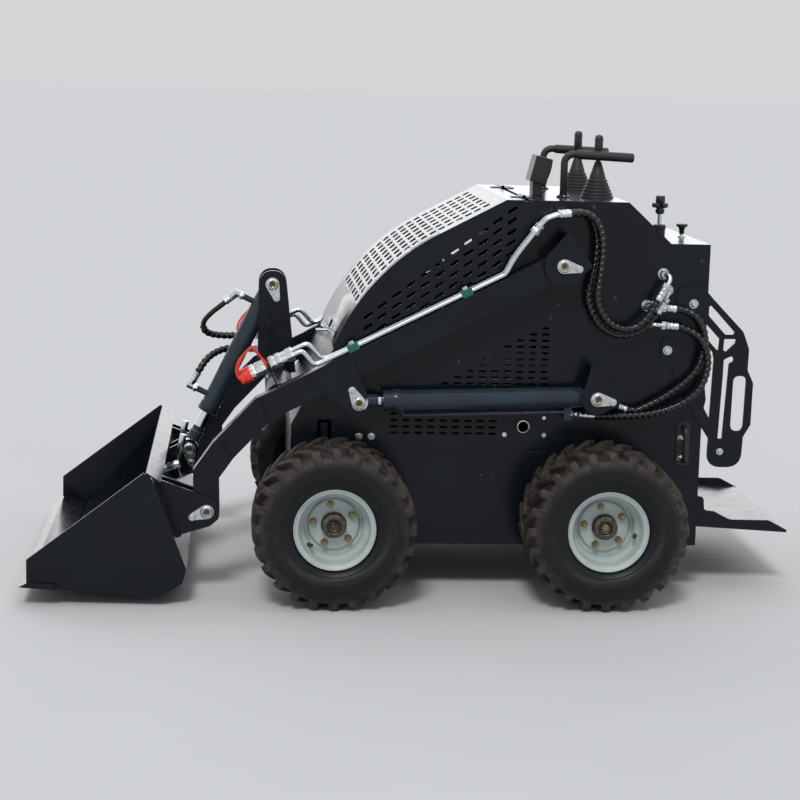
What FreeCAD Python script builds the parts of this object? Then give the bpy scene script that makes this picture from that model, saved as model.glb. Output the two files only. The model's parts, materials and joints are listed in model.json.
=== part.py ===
"""Compact stand-on skid steer loader with a lift arm, a quick coupler and an earth bucket.

Millimetres, +Z up. The machine faces -X, its left side is -Y, and the origin lies on the
ground below the middle of the machine's overall length and width.
Side views are drawn in the XZ plane, and a piece on the left side is mirrored to the right.
"""
import FreeCAD, Part
import math
import os

V = FreeCAD.Vector
AXIS_X, AXIS_Y, AXIS_Z = V(1, 0, 0), V(0, 1, 0), V(0, 0, 1)
SIDES = (("left", -1), ("right", 1))

SEAT_CLEARANCE = 0.3

# Wheels
WHEELBASE = 758.0
FRONT_AXLE_X = -241.0
TYRE_RADIUS = 228.0
TYRE_WIDTH = 236.0
TYRE_GAP = 14.0
CARCASS_RADIUS = 211.0
SHOULDER_Y = 97.0
LUG_TOE_RADIUS = 178.0
LUG_COUNT = 24
LUG_WIDTH = 19.0
LUG_TOE_WIDTH = 24.0
LUG_START_Y = 5.0
LUG_LEAD = 14.0
RIM_SEAT_RADIUS = 101.6
RIM_FLANGE_RADIUS = 114.0
RIM_WIDTH = 178.0
RIM_SHEET = 4.0
HUB_RADIUS = 34.0
HUB_LENGTH = 46.0
WHEEL_BOLT_CIRCLE = 53.0
WHEEL_BOLTS = 5
WHEEL_NUT_RADIUS = 9.5
MOTOR_RADIUS = 58.0
MOTOR_FLANGE_RADIUS = 74.0
MOTOR_LENGTH = 152.0
MOTOR_REACH = 42.0
SPINDLE_RADIUS = 24.0
SPINDLE_REACH = 32.0
DISC_SHEET = 6.0
DISC_OFFSET = 14.0

# Frame of sheet steel
FRAME_HALF_WIDTH = 364.0
SIDE_SHEET = 6.0
FLOOR_SHEET = 5.0
COVER_SHEET = 3.0
FRAME_FRONT_X = -360.0
FRAME_REAR_X = 816.0
FRAME_FLOOR_Z = 137.0
FRONT_CORNER_Z = 480.0
HOOD_FOOT = (-246.0, 700.0)
HOOD_KNEE = (47.0, 1026.0)
HOOD_BEND_X = 232.0
HOOD_ARC_RADIUS = 640.0
DECK_Z = 1124.0
HOOD_HINGE_X = 292.0
DECK_REAR_X = 577.0
SHELF_FRONT_X = 703.0
SHELF_Z = 1010.0
HOOD_SLOT = (20.0, 39.0)
HOOD_SLOT_PITCH = (28.5, 88.0)
HOOD_SLOT_ROWS = 17
HOOD_SLOT_COLUMNS = 7
HOOD_SLOT_START = -158.0
LATCH_SLOT = (24.0, 66.0)
LATCH_TAB = (34.0, 40.0)
HINGE_RADIUS = 6.0
HINGE_PIN_RADIUS = 3.0
HINGE_LIFT = 3.0
HINGE_Y = 230.0
KNUCKLE_LENGTH = 30.0

# Vent fields of the side plates: first opening (x, z), steps and openings' length and height
UPPER_VENT = (248.6, 1095.5)
UPPER_VENT_STEP = (39.8, 30.4)
UPPER_VENT_SIZE = (30.0, 9.5)
UPPER_VENT_LEAN = 34.0
UPPER_VENT_COLUMNS = 11
UPPER_VENT_ROWS = 5
MIDDLE_VENT = (355.8, 764.4)
MIDDLE_VENT_STEP = (35.4, 17.9)
MIDDLE_VENT_COLUMNS = 9
MIDDLE_VENT_ROWS = 10
LOWER_VENT = (-69.0, 514.5)
LOWER_VENT_STEP = (35.1, 18.2)
LOWER_VENT_COLUMNS = 9
LOWER_VENT_ROWS = 4
VENT_SIZE = (22.0, 6.5)
SERVICE_COVER = (-88.0, 392.0, 415.0, 536.0)
SERVICE_COVER_SHEET = 2.0
PORT_HOLE = (297.0, 483.0)
PORT_HOLE_RADIUS = 15.0
PORT_RING_RADIUS = 19.5
CATCH_RECESS = (-286.0, -246.0, 440.0, 495.0)
CATCH_WIDTH = 20.0

# Lift arms
ARM_PIVOT = (386.0, 949.0)
ARM_ELBOW = (-440.0, 533.0)
ARM_KNEE = (-548.0, 417.0)
ARM_ANKLE = (-596.0, 348.0)
COUPLER_PIVOT = (-593.0, 244.0)
ARM_DEPTH = 72.0
ARM_WIDTH = 48.0
ARM_GAP = 20.0
ARM_CHEEK = 8.0
ARM_BOSS_RADIUS = 48.0
ARM_NOSE_RADIUS = 36.0
CROSS_TUBE = (-392.0, 560.0)
CROSS_TUBE_RADIUS = 40.0

# Hydraulic cylinders
LIFT_ROD_PIN = (-174.0, 556.0)
LIFT_BASE_PIN = (496.0, 577.0)
TILT_TOP_PIN = (-413.0, 841.0)
TILT_ROD_PIN = (-654.0, 344.0)
# Radii of barrel, rod and eye, the eyes' width, the distance from gland to rod pin, and from
# base pin to piston
LIFT_SIZES = {"barrel": 30.0, "rod": 16.0, "eye": 26.0, "width": 44.0, "gap": 96.0, "piston": 56.0}
TILT_SIZES = {"barrel": 28.0, "rod": 16.0, "eye": 27.0, "width": 66.0, "gap": 120.0,
              "piston": 106.0}
EYE_REACH = 40.0
WALL = 6.0
GLAND_LENGTH = 26.0
PISTON_LENGTH = 30.0
PISTON_CLEARANCE = 0.3
PIN_RADIUS = 15.0
PIN_CLEARANCE = 0.1
PORT_RADIUS = 9.0
PORT_REACH = 80.0
NIPPLE_LENGTH = 20.0
# Tilt cylinder's ports: distance from the top pin, and where the nipple points in the side view
TILT_PORTS = ((75.0, (-0.783, -0.622)), (384.6, (0.5, 0.866)))
# Lift cylinder's pipe: drops of pipe and fitting below the barrel's axis, distances from the base pin
LINE_RADIUS = 6.0
LINE_DROP = 42.0
LINE_START = 80.0
LINE_END = 548.0
LINE_FITTING_DROP = 54.0
BASE_PORT = (0.929, -0.370)
BASE_PORT_REACH = 74.0
BASE_PORT_INSET = 12.0
SIDE_CLEARANCE = 1.0

# Pivot brackets and keepers
BRACKET_SHEET = 8.0
BRACKET_RADIUS = 54.0
KEEPER_SHEET = 6.0
KEEPER_LENGTH = 42.0
KEEPER_BIG_RADIUS = 20.0
KEEPER_SMALL_RADIUS = 10.0
KEEPER_BOLT_RADIUS = 8.0

# Coupler and bucket
BUCKET_OVERHANG = 96.0
BUCKET_SHEET = 6.0
BUCKET_LIP = (-1101.5, 54.0)
BUCKET_HEEL = (-719.0, 25.0)
BUCKET_BEVEL = (-656.0, 64.0)
BUCKET_BACK_FOOT = (-645.0, 104.0)
BUCKET_BACK_TOP = (-740.0, 355.0)
BUCKET_CHEEK_FRONT = (-1079.0, 131.0)
BUCKET_CHEEK_TOP = (-763.0, 374.0)
CREASE_FOOT = 106.0
CHEEK_FLARE = 0.06
CHEEK_NOSE = 22.0
EDGE_OVERHANG = 10.0
EDGE_DEPTH = 100.0
EDGE_SHEET = 16.0
COUPLER_SHEET = 10.0
COUPLER_MARGIN = 9.0
COUPLER_TOP_DROP = 16.0
COUPLER_HEIGHT = 180.0
TOWER_SHEET = 12.0
TOWER_RADIUS = 40.0
TOWER_RIB_X = -420.0
TOWER_RIB = (7.0, 24.0)
TOWER_RIB_TOP_Z = 785.0
TOWER_FITTINGS = ((-452.0, 676.0), (-452.0, 634.0))
LOCK_LEVER_Y = 110.0
LOCK_LEVER_PLACE = 60.0
LOCK_LEVER_TOP = (-668.0, 400.0)
LOCK_LINK_END = (-674.0, 272.0)

# Pipes, hoses and their fittings
PIPE_RADIUS = 7.5
PIPE_SPACING = 24.0
PIPE_RISE = 46.0
PIPE_BEND = 14.0
HOSE_RADIUS = 10.0
CLAMP_LENGTH = 32.0
CLAMP_HEIGHT = 20.0
CLAMP_PLACES = (273.0, 624.0)
FITTING_RADIUS = 11.0
# Side-view places of the fittings on the side plate
FITTINGS = ((671.0, 923.0), (686.0, 901.0), (645.0, 852.0), (661.0, 818.0), (695.0, 827.0),
            (713.0, 802.0))
COUPLER_RADIUS = 11.0
COUPLER_START = 830.0
COUPLER_RISE = 86.0
COUPLER_LENGTH = 138.0
COUPLER_PLATE = (859.0, 110.0)
COUPLER_PLATE_SHEET = 5.0
NOSE_RADIUS = 8.0
NOSE_LENGTH = 38.0

# Operator's controls
HANDLE_Y = 200.0
HANDLE_FOOT_X = 416.0
HANDLE_END_X = 612.0
HANDLE_TOP_Z = 1249.0
HANDLE_RADIUS = 10.5
GRAB_X = 764.0
GRAB_Z = (392.0, 486.0)
GRAB_RADIUS = 8.0
GRAB_REACH = 38.0
GRAB_BASE = (744.0, 783.0, 374.0, 503.0)
GRAB_BASE_SHEET = 5.0
BOOT_RADIUS = 49.0
BOOT_RIBS = 6
BOOT_RIB_HEIGHT = 9.5
BOOT_RIB_STEP = 4.0
BOOT_RIB_DEPTH = 5.0
LEVER_Y = 176.0
LEVER_X = 518.0
LEVER_TOP_Z = 1298.0
GAUGE_X = 358.0
GAUGE_Y = -105.0

# Rear platform
PLATFORM_PIVOT = (835.0, 256.0)
PLATFORM_INSET = 60.0
PLATFORM_SHEET = 4.0
PLATFORM_RAIL = 8.0
PLATFORM_TIP_X = 1101.5
PLATFORM_PIN_RADIUS = 8.0
GUARD_SHEET = 8.0

# Engine stand-in
ENGINE_X = (-20.0, 430.0)
ENGINE_Y = (-190.0, 190.0)
ENGINE_TOP_Z = 620.0

# Feet of the pivot brackets and free ends of the pins' keepers, in the side view
ARM_BRACKET_CORNERS = ((396.0, 1046.0), (468.0, 950.0))
BASE_BRACKET_CORNERS = ((478.0, 680.0), (566.0, 566.0))
ARM_KEEPER_END = (428.0, 942.0)
BASE_KEEPER_END = (540.0, 570.0)
TOWER_KEEPER_END = (-400.0, 800.0)
ROD_KEEPER_END = (-196.0, 596.0)
EAR_KEEPER_END = (-632.0, 230.0)
STUB_KEEPER_END = (-648.0, 304.0)

# Instrument box and knobs
GAUGE_HALF_SIZES = (25.0, 45.0, 38.0)
GAUGE_LEAN = 14.0
GAUGE_RISE = 74.0
KNOB_X = 744.0
KNOB_ARM = 26.0
KNOB_BAR_RISE = 80.0
TEE_PLACE = (786.0, -120.0)
TEE_HEIGHT = 28.0

# Hose routes: points of the side view, and of space for the tilt cylinder's, whose last two
# run beside the tower's far plate
ARM_HOSE_FALL = ((452.0, 1080.0), (477.0, 1030.0), (486.0, 960.0), (482.0, 868.0))
ARM_HOSE_LOOP = ((508.0, 796.0), (556.0, 766.0), (606.0, 782.0))
CYLINDER_HOSE_ROUTES = (
    ((752.0, 824.0), (796.0, 764.0), (808.0, 670.0), (785.0, 612.0), (722.0, 566.0), (662.0, 538.0)),
    ((776.0, 790.0), (826.0, 730.0), (836.0, 662.0), (806.0, 592.0), (730.0, 546.0), (660.0, 528.0)))
TILT_HOSE_ROUTES = (
    ((-564.0, 0.0, 772.0), (-596.0, 12.0, 740.0), (-612.0, 30.0, 704.0), (-600.0, 46.0, 674.0),
     (-560.0, 662.0), (-510.0, 668.0)),
    ((-628.0, 0.0, 572.0), (-612.0, 12.0, 598.0), (-588.0, 32.0, 620.0), (-550.0, 634.0),
     (-505.0, 636.0)))

REAR_AXLE_X = FRONT_AXLE_X + WHEELBASE
TYRE_MID_Y = FRAME_HALF_WIDTH + TYRE_GAP + TYRE_WIDTH / 2
MOTOR_OUTER_Y = FRAME_HALF_WIDTH + MOTOR_REACH
ARM_MID_Y = FRAME_HALF_WIDTH + ARM_GAP + ARM_WIDTH / 2
BASE_PORT_Y = BASE_PORT_INSET - ARM_MID_Y
ARM_OUTER_Y = ARM_MID_Y + ARM_WIDTH / 2 + ARM_CHEEK
EAR_INNER_Y = ARM_MID_Y - ARM_WIDTH / 2 - SIDE_CLEARANCE - COUPLER_SHEET
EAR_OUTER_Y = ARM_MID_Y + ARM_WIDTH / 2 + SIDE_CLEARANCE + COUPLER_SHEET
COUPLER_HALF_WIDTH = EAR_OUTER_Y + COUPLER_MARGIN
BUCKET_HALF_WIDTH = COUPLER_HALF_WIDTH + BUCKET_OVERHANG
LUG_Y = TILT_SIZES["width"] / 2 + SIDE_CLEARANCE
TOWER_OUTER_Y = LUG_Y + TOWER_SHEET
PLATFORM_HALF_WIDTH = FRAME_HALF_WIDTH - PLATFORM_INSET
FRAME_INNER_Y = FRAME_HALF_WIDTH - SIDE_SHEET
BRACKET_INNER_Y = ARM_OUTER_Y + SIDE_CLEARANCE

parts = {}


def point(xz, y):
    """A point of the side view at the distance y from the middle plane."""
    return V(xz[0], y, xz[1])


def mirrored(shape):
    """The same piece on the other side of the machine."""
    return shape.mirror(V(0, 0, 0), AXIS_Y)


def both_sides(shape):
    """A piece with its mirror image."""
    return [shape, mirrored(shape)]


def along(a, b, distance):
    """The side-view point that lies this far from a towards b."""
    length = math.dist(a, b)
    return (a[0] + (b[0] - a[0]) * distance / length, a[1] + (b[1] - a[1]) * distance / length)


def arm_point(distance, rise, y):
    """Point above the arm's long straight run: distance from the pivot, rise from the centreline."""
    length = math.dist(ARM_PIVOT, ARM_ELBOW)
    ux, uz = (ARM_ELBOW[0] - ARM_PIVOT[0]) / length, (ARM_ELBOW[1] - ARM_PIVOT[1]) / length
    return V(ARM_PIVOT[0] + ux * distance + uz * rise, y, ARM_PIVOT[1] + uz * distance - ux * rise)


def outline(corners, y):
    """Closed wire in the plane y through (x, z, radius) corners, each rounded by its radius."""
    ends = []
    for i, corner in enumerate(corners):
        here = point(corner, y)
        radius = corner[2] if len(corner) > 2 else 0.0
        if radius <= 0.0:
            ends.append((here, None, here))
            continue
        back = (point(corners[i - 1], y) - here).normalize()
        ahead = (point(corners[(i + 1) % len(corners)], y) - here).normalize()
        half = back.getAngle(ahead) / 2
        reach = radius / math.tan(half)
        centre = here + (back + ahead).normalize() * (radius / math.sin(half))
        crest = centre + (here - centre).normalize() * radius
        ends.append((here + back * reach, crest, here + ahead * reach))
    edges = []
    for i, (start, crest, end) in enumerate(ends):
        before = ends[i - 1][2]
        if (start - before).Length > 0.01:
            edges.append(Part.LineSegment(before, start).toShape())
        if crest is not None:
            edges.append(Part.Arc(start, crest, end).toShape())
    return Part.Wire(edges)


def plate(corners, y, thickness):
    """Flat plate cut to a side-view outline, from the plane y outwards by its thickness."""
    return Part.Face(outline(corners, y)).extrude(V(0, thickness, 0))


def cross_bar(centre, radius, y, length):
    """Round bar along Y."""
    return Part.makeCylinder(radius, length, point(centre, y), AXIS_Y)


def round_between(start, end, radius):
    """Round bar from one point to another."""
    return Part.makeCylinder(radius, (end - start).Length, start, end - start)


def block(x, y, z):
    """Box between (low, high) pairs."""
    return Part.makeBox(x[1] - x[0], y[1] - y[0], z[1] - z[0], V(x[0], y[0], z[0]))


def band(line, depth):
    """Side-view outline of a bar of constant depth along a bent centreline."""
    upper, lower = [], []
    for i, here in enumerate(line):
        back = line[i - 1] if i > 0 else None
        ahead = line[i + 1] if i + 1 < len(line) else None
        directions = []
        if back:
            directions.append(math.atan2(here[1] - back[1], here[0] - back[0]))
        if ahead:
            directions.append(math.atan2(ahead[1] - here[1], ahead[0] - here[0]))
        mean = sum(directions) / len(directions)
        reach = depth / 2 / math.cos(directions[0] - mean)
        normal = (-math.sin(mean), math.cos(mean))
        upper.append((here[0] + normal[0] * reach, here[1] + normal[1] * reach))
        lower.append((here[0] - normal[0] * reach, here[1] - normal[1] * reach))
    return upper + lower[::-1]


def tube(route, radius, bend):
    """Round tube along straight runs joined by tangent arcs of one bend radius."""
    edges = []
    before = route[0]
    for i in range(1, len(route) - 1):
        here = route[i]
        back = (route[i - 1] - here).normalize()
        ahead = (route[i + 1] - here).normalize()
        half = back.getAngle(ahead) / 2
        reach = bend / math.tan(half)
        centre = here + (back + ahead).normalize() * (bend / math.sin(half))
        crest = centre + (here - centre).normalize() * bend
        edges.append(Part.LineSegment(before, here + back * reach).toShape())
        edges.append(Part.Arc(here + back * reach, crest, here + ahead * reach).toShape())
        before = here + ahead * reach
    edges.append(Part.LineSegment(before, route[-1]).toShape())
    path = Part.Wire(edges)
    section = Part.Wire([Part.makeCircle(radius, route[0], route[1] - route[0])])
    return path.makePipeShell([section], True, False)


def hood_line(offset):
    """Corner points and arc of the hood's side view, offset inwards by a distance.

    Returns the foot, a point on the arc's middle, the knee, the bend and the hinge end.
    """
    slope = math.atan2(DECK_Z - HOOD_KNEE[1], HOOD_BEND_X - HOOD_KNEE[0])
    centre = (HOOD_KNEE[0] + HOOD_ARC_RADIUS * math.sin(slope),
              HOOD_KNEE[1] - HOOD_ARC_RADIUS * math.cos(slope))
    radius = HOOD_ARC_RADIUS - offset
    chord = math.dist(HOOD_FOOT, HOOD_KNEE)
    turn = 2 * math.asin(chord / 2 / HOOD_ARC_RADIUS)

    def on_arc(share):
        angle = math.pi / 2 + slope + turn * share
        return (centre[0] + radius * math.cos(angle), centre[1] + radius * math.sin(angle))

    bend_drop = offset * math.tan(slope / 2)
    bend = (HOOD_BEND_X + bend_drop, DECK_Z - offset)
    return on_arc(1.0), on_arc(0.5), on_arc(0.0), bend, (HOOD_HINGE_X, DECK_Z - offset)


def hood_place(distance, y):
    """Point on the hood's outside and its outward direction, a distance down from the knee."""
    slope = math.atan2(DECK_Z - HOOD_KNEE[1], HOOD_BEND_X - HOOD_KNEE[0])
    turn = max(distance, 0.0) / HOOD_ARC_RADIUS
    out = V(-math.sin(slope + turn), 0, math.cos(slope + turn))
    centre = V(HOOD_KNEE[0] + HOOD_ARC_RADIUS * math.sin(slope), y,
               HOOD_KNEE[1] - HOOD_ARC_RADIUS * math.cos(slope))
    up_slope = V(math.cos(slope), 0, math.sin(slope)) * max(-distance, 0.0)
    return centre + out * HOOD_ARC_RADIUS + up_slope, out


def hood_cutter(distance, y, size):
    """Box through the hood's sheet at this place; its size is along the hood and across it."""
    spot, out = hood_place(distance, y)
    cutter = Part.makeBox(size[0], size[1], 6 * COVER_SHEET,
                          V(-size[0] / 2, -size[1] / 2, -3 * COVER_SHEET))
    cutter.Placement = FreeCAD.Placement(spot, FreeCAD.Rotation(AXIS_Z, out))
    return cutter


def deck_line():
    """Middle line of the top sheet: console deck, slope and rear shelf."""
    middle = COVER_SHEET / 2
    return [(HOOD_HINGE_X + HINGE_RADIUS + 2, DECK_Z - middle), (DECK_REAR_X, DECK_Z - middle),
            (SHELF_FRONT_X, SHELF_Z - middle), (FRAME_REAR_X, SHELF_Z - middle)]


def side_outline(y):
    """Closed wire of the frame's side plate, which ends just inside the covers."""
    foot, middle, knee, bend, hinge = hood_line(COVER_SHEET + SEAT_CLEARANCE)
    under_deck = band(deck_line(), COVER_SHEET)[:3:-1]
    corners = [hinge, (hinge[0], under_deck[0][1])] + under_deck + [
        (FRAME_REAR_X, FRAME_FLOOR_Z), (FRAME_FRONT_X, FRAME_FLOOR_Z),
        (FRAME_FRONT_X, FRONT_CORNER_Z), foot]
    edges = [Part.Arc(point(foot, y), point(middle, y), point(knee, y)).toShape(),
             Part.LineSegment(point(knee, y), point(bend, y)).toShape(),
             Part.LineSegment(point(bend, y), point(hinge, y)).toShape()]
    edges += [Part.LineSegment(point(a, y), point(b, y)).toShape()
              for a, b in zip(corners, corners[1:])]
    return Part.Wire(edges)


def side_panel():
    """Left side plate with the openings for the wheel motors."""
    panel = Part.Face(side_outline(-FRAME_HALF_WIDTH)).extrude(V(0, SIDE_SHEET, 0))
    holes = [cross_bar((x, TYRE_RADIUS), MOTOR_RADIUS + 1, -FRAME_HALF_WIDTH - 1, SIDE_SHEET + 2)
             for x in (FRONT_AXLE_X, REAR_AXLE_X)]
    x0, x1, z0, z1 = SERVICE_COVER
    cover = plate([(x0, z0, 22), (x1, z0, 22), (x1, z1, 8), (x0, z1, 8)],
                  -FRAME_HALF_WIDTH - SERVICE_COVER_SHEET, SERVICE_COVER_SHEET)
    ring = cross_bar(PORT_HOLE, PORT_RING_RADIUS, -FRAME_HALF_WIDTH - SERVICE_COVER_SHEET - 4, 5)
    holes.append(cross_bar(PORT_HOLE, PORT_HOLE_RADIUS, -FRAME_HALF_WIDTH - 10, 10 + SIDE_SHEET + 1))
    return panel.fuse([cover, ring]).cut(holes + side_vents() + catch_recess()).removeSplitter()


def vent(x, z, size, lean):
    """Cutter for one round-ended slot through the left side plate, leaning by an angle."""
    length, height = size
    y = -FRAME_HALF_WIDTH - SERVICE_COVER_SHEET - 1
    depth = SIDE_SHEET + SERVICE_COVER_SHEET + 2
    slot = plate([(-length / 2, -height / 2, height * 0.45), (length / 2, -height / 2, height * 0.45),
                  (length / 2, height / 2, height * 0.45), (-length / 2, height / 2, height * 0.45)],
                 0, depth)
    slot.rotate(V(0, 0, 0), AXIS_Y, -lean)
    slot.translate(V(x, y, z))
    return slot


def side_vents():
    """Cutters for the three fields of vents, the upper two in steps under the hood's line."""
    vents = []
    for i in range(UPPER_VENT_COLUMNS):
        for j in range(UPPER_VENT_ROWS):
            vents.append(vent(UPPER_VENT[0] - i * UPPER_VENT_STEP[0],
                              UPPER_VENT[1] - (i + j) * UPPER_VENT_STEP[1],
                              UPPER_VENT_SIZE, UPPER_VENT_LEAN))
    for i in range(MIDDLE_VENT_COLUMNS):
        for k in range(i if i < 6 else i + 1, MIDDLE_VENT_ROWS):
            vents.append(vent(MIDDLE_VENT[0] - i * MIDDLE_VENT_STEP[0],
                              MIDDLE_VENT[1] - k * MIDDLE_VENT_STEP[1], VENT_SIZE, 0))
    for i in range(LOWER_VENT_COLUMNS):
        for k in range(LOWER_VENT_ROWS):
            vents.append(vent(LOWER_VENT[0] + i * LOWER_VENT_STEP[0],
                              LOWER_VENT[1] - k * LOWER_VENT_STEP[1], VENT_SIZE, 0))
    return vents


def catch_recess():
    """Cutters that leave an upright tongue in a window above the front wheel."""
    x0, x1, z0, z1 = CATCH_RECESS
    tongue = (x0 + x1 - CATCH_WIDTH) / 2, (x0 + x1 + CATCH_WIDTH) / 2
    y = (-FRAME_HALF_WIDTH - 1, -FRAME_INNER_Y + 1)
    return [block((x0, tongue[0]), y, (z0, z1)), block((tongue[1], x1), y, (z0, z1)),
            block((tongue[0] - 1, tongue[1] + 1), y, (z1 - 8, z1))]


def cross_sheet(line, thickness, half_width):
    """Bent sheet across the machine: a side-view centreline given a thickness to one side."""
    corners = band(line, thickness)
    return plate(corners, -half_width, 2 * half_width)


def underframe():
    """Floor pan bent up into the front plate, which follows the hood's line to its foot."""
    inset = FLOOR_SHEET / 2
    foot = hood_line(COVER_SHEET + SEAT_CLEARANCE)[0]
    line = [(FRAME_REAR_X - FLOOR_SHEET - 0.5, FRAME_FLOOR_Z + inset),
            (FRAME_FRONT_X + inset, FRAME_FLOOR_Z + inset),
            (FRAME_FRONT_X + inset, FRONT_CORNER_Z),
            (foot[0] + inset, foot[1] - 2 * inset)]
    return cross_sheet(line, FLOOR_SHEET, FRAME_INNER_Y)


def rear_panel():
    """Upright plate that closes the back, with the platform's two lugs and pivot pins."""
    panel = block((FRAME_REAR_X - FLOOR_SHEET, FRAME_REAR_X), (-FRAME_INNER_Y, FRAME_INNER_Y),
                  (FRAME_FLOOR_Z, SHELF_Z - COVER_SHEET))
    return panel.fuse(both_sides(platform_lug())).removeSplitter()


def console_deck():
    """Top sheet with the fixed halves of the hood's two hinges."""
    deck = cross_sheet(deck_line(), COVER_SHEET, FRAME_HALF_WIDTH)
    pins = []
    for y in (-HINGE_Y, HINGE_Y):
        for shift in (-KNUCKLE_LENGTH, KNUCKLE_LENGTH):
            deck = deck.fuse(hinge_knuckle(y + shift, 1))
        pins.append(cross_bar(hinge_axis(), HINGE_PIN_RADIUS, y - 1.5 * KNUCKLE_LENGTH,
                              3 * KNUCKLE_LENGTH))
    return deck.fuse(pins).removeSplitter()


def hinge_axis():
    """Side-view point of the hood's hinge axis."""
    return (HOOD_HINGE_X, DECK_Z + HINGE_LIFT)


def hinge_knuckle(y, side):
    """Hinge knuckle centred on y with its leaf towards the deck (+1) or the hood (-1)."""
    length = KNUCKLE_LENGTH - 1
    knuckle = cross_bar(hinge_axis(), HINGE_RADIUS, y - length / 2, length)
    reach = sorted((HOOD_HINGE_X, HOOD_HINGE_X + side * 34))
    leaf = block(reach, (y - length / 2, y + length / 2), (DECK_Z, DECK_Z + HINGE_LIFT))
    return knuckle.fuse(leaf)


def hood_grille():
    """Hinged front hood: one sheet with a flat top, a straight slope and a curved front."""
    outer = hood_line(0.0)
    inner = hood_line(COVER_SHEET)
    y = -FRAME_HALF_WIDTH
    hinge_end = HOOD_HINGE_X - HINGE_RADIUS - 1
    top_outer, top_inner = (hinge_end, DECK_Z), (hinge_end, DECK_Z - COVER_SHEET)
    edges = [Part.Arc(point(outer[0], y), point(outer[1], y), point(outer[2], y)).toShape(),
             Part.LineSegment(point(outer[2], y), point(outer[3], y)).toShape(),
             Part.LineSegment(point(outer[3], y), point(top_outer, y)).toShape(),
             Part.LineSegment(point(top_outer, y), point(top_inner, y)).toShape(),
             Part.LineSegment(point(top_inner, y), point(inner[3], y)).toShape(),
             Part.LineSegment(point(inner[3], y), point(inner[2], y)).toShape(),
             Part.Arc(point(inner[2], y), point(inner[1], y), point(inner[0], y)).toShape(),
             Part.LineSegment(point(inner[0], y), point(outer[0], y)).toShape()]
    hood = Part.Face(Part.Wire(edges)).extrude(V(0, 2 * FRAME_HALF_WIDTH, 0))
    for middle in (-HINGE_Y, HINGE_Y):
        knuckle = hinge_knuckle(middle, -1)
        knuckle = knuckle.cut(cross_bar(hinge_axis(), HINGE_PIN_RADIUS + PIN_CLEARANCE,
                                        middle - KNUCKLE_LENGTH, 2 * KNUCKLE_LENGTH))
        hood = hood.fuse(knuckle)
    middle = (HOOD_SLOT_COLUMNS - 1) / 2
    slots = [hood_cutter(HOOD_SLOT_START + row * HOOD_SLOT_PITCH[0],
                         (column - middle) * HOOD_SLOT_PITCH[1], HOOD_SLOT)
             for row in range(HOOD_SLOT_ROWS) for column in range(HOOD_SLOT_COLUMNS)]
    arc_length = HOOD_ARC_RADIUS * 2 * math.asin(
        math.dist(HOOD_FOOT, HOOD_KNEE) / 2 / HOOD_ARC_RADIUS)
    slots.append(hood_cutter(arc_length - LATCH_SLOT[0], 0, LATCH_SLOT))
    return hood.cut(slots).fuse(latch_tab()).removeSplitter()


def latch_tab():
    """Finger tab that stands out level from the hood's foot."""
    foot = hood_line(0.0)[0]
    return block((foot[0] - LATCH_TAB[0], foot[0] + 1), (-LATCH_TAB[1] / 2, LATCH_TAB[1] / 2),
                 (foot[1], foot[1] + COVER_SHEET))


def keeper(pin, towards, y, outwards):
    """Teardrop keeper plate, pin end and bolt head on the plane y, facing outwards (+1 or -1)."""
    bolt = along(pin, towards, KEEPER_LENGTH)
    low = y if outwards > 0 else y - KEEPER_SHEET
    dx, dz = (bolt[0] - pin[0]) / KEEPER_LENGTH, (bolt[1] - pin[1]) / KEEPER_LENGTH
    lean = math.asin((KEEPER_BIG_RADIUS - KEEPER_SMALL_RADIUS) / KEEPER_LENGTH)

    def tangent(centre, radius, sign):
        angle = math.atan2(dz, dx) + sign * (math.pi / 2 - lean)
        return (centre[0] + radius * math.cos(angle), centre[1] + radius * math.sin(angle))

    def tip(centre, radius, sign):
        return (centre[0] + sign * radius * dx, centre[1] + sign * radius * dz)

    a, b = tangent(pin, KEEPER_BIG_RADIUS, 1), tangent(bolt, KEEPER_SMALL_RADIUS, 1)
    c, d = tangent(bolt, KEEPER_SMALL_RADIUS, -1), tangent(pin, KEEPER_BIG_RADIUS, -1)
    far, near = tip(bolt, KEEPER_SMALL_RADIUS, 1), tip(pin, KEEPER_BIG_RADIUS, -1)
    wire = Part.Wire([Part.LineSegment(point(a, low), point(b, low)).toShape(),
                      Part.Arc(point(b, low), point(far, low), point(c, low)).toShape(),
                      Part.LineSegment(point(c, low), point(d, low)).toShape(),
                      Part.Arc(point(d, low), point(near, low), point(a, low)).toShape()])
    body = Part.Face(wire).extrude(V(0, KEEPER_SHEET, 0))
    head = y + outwards * KEEPER_SHEET if outwards > 0 else y - KEEPER_SHEET - 5
    body = body.fuse(cross_bar(bolt, KEEPER_BOLT_RADIUS, head, 5))
    ring = cross_bar(pin, PIN_RADIUS, head, 5).cut(cross_bar(pin, PIN_RADIUS - 5, head - 1, 7))
    return body.fuse(ring)


def pinned(pin, towards, inner_y, outer_y):
    """Left-side pin from its inner end to the outer plate, with its keeper outside."""
    shaft = cross_bar(pin, PIN_RADIUS, -outer_y, outer_y - inner_y)
    return shaft.fuse(keeper(pin, towards, -outer_y, -1))


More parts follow.
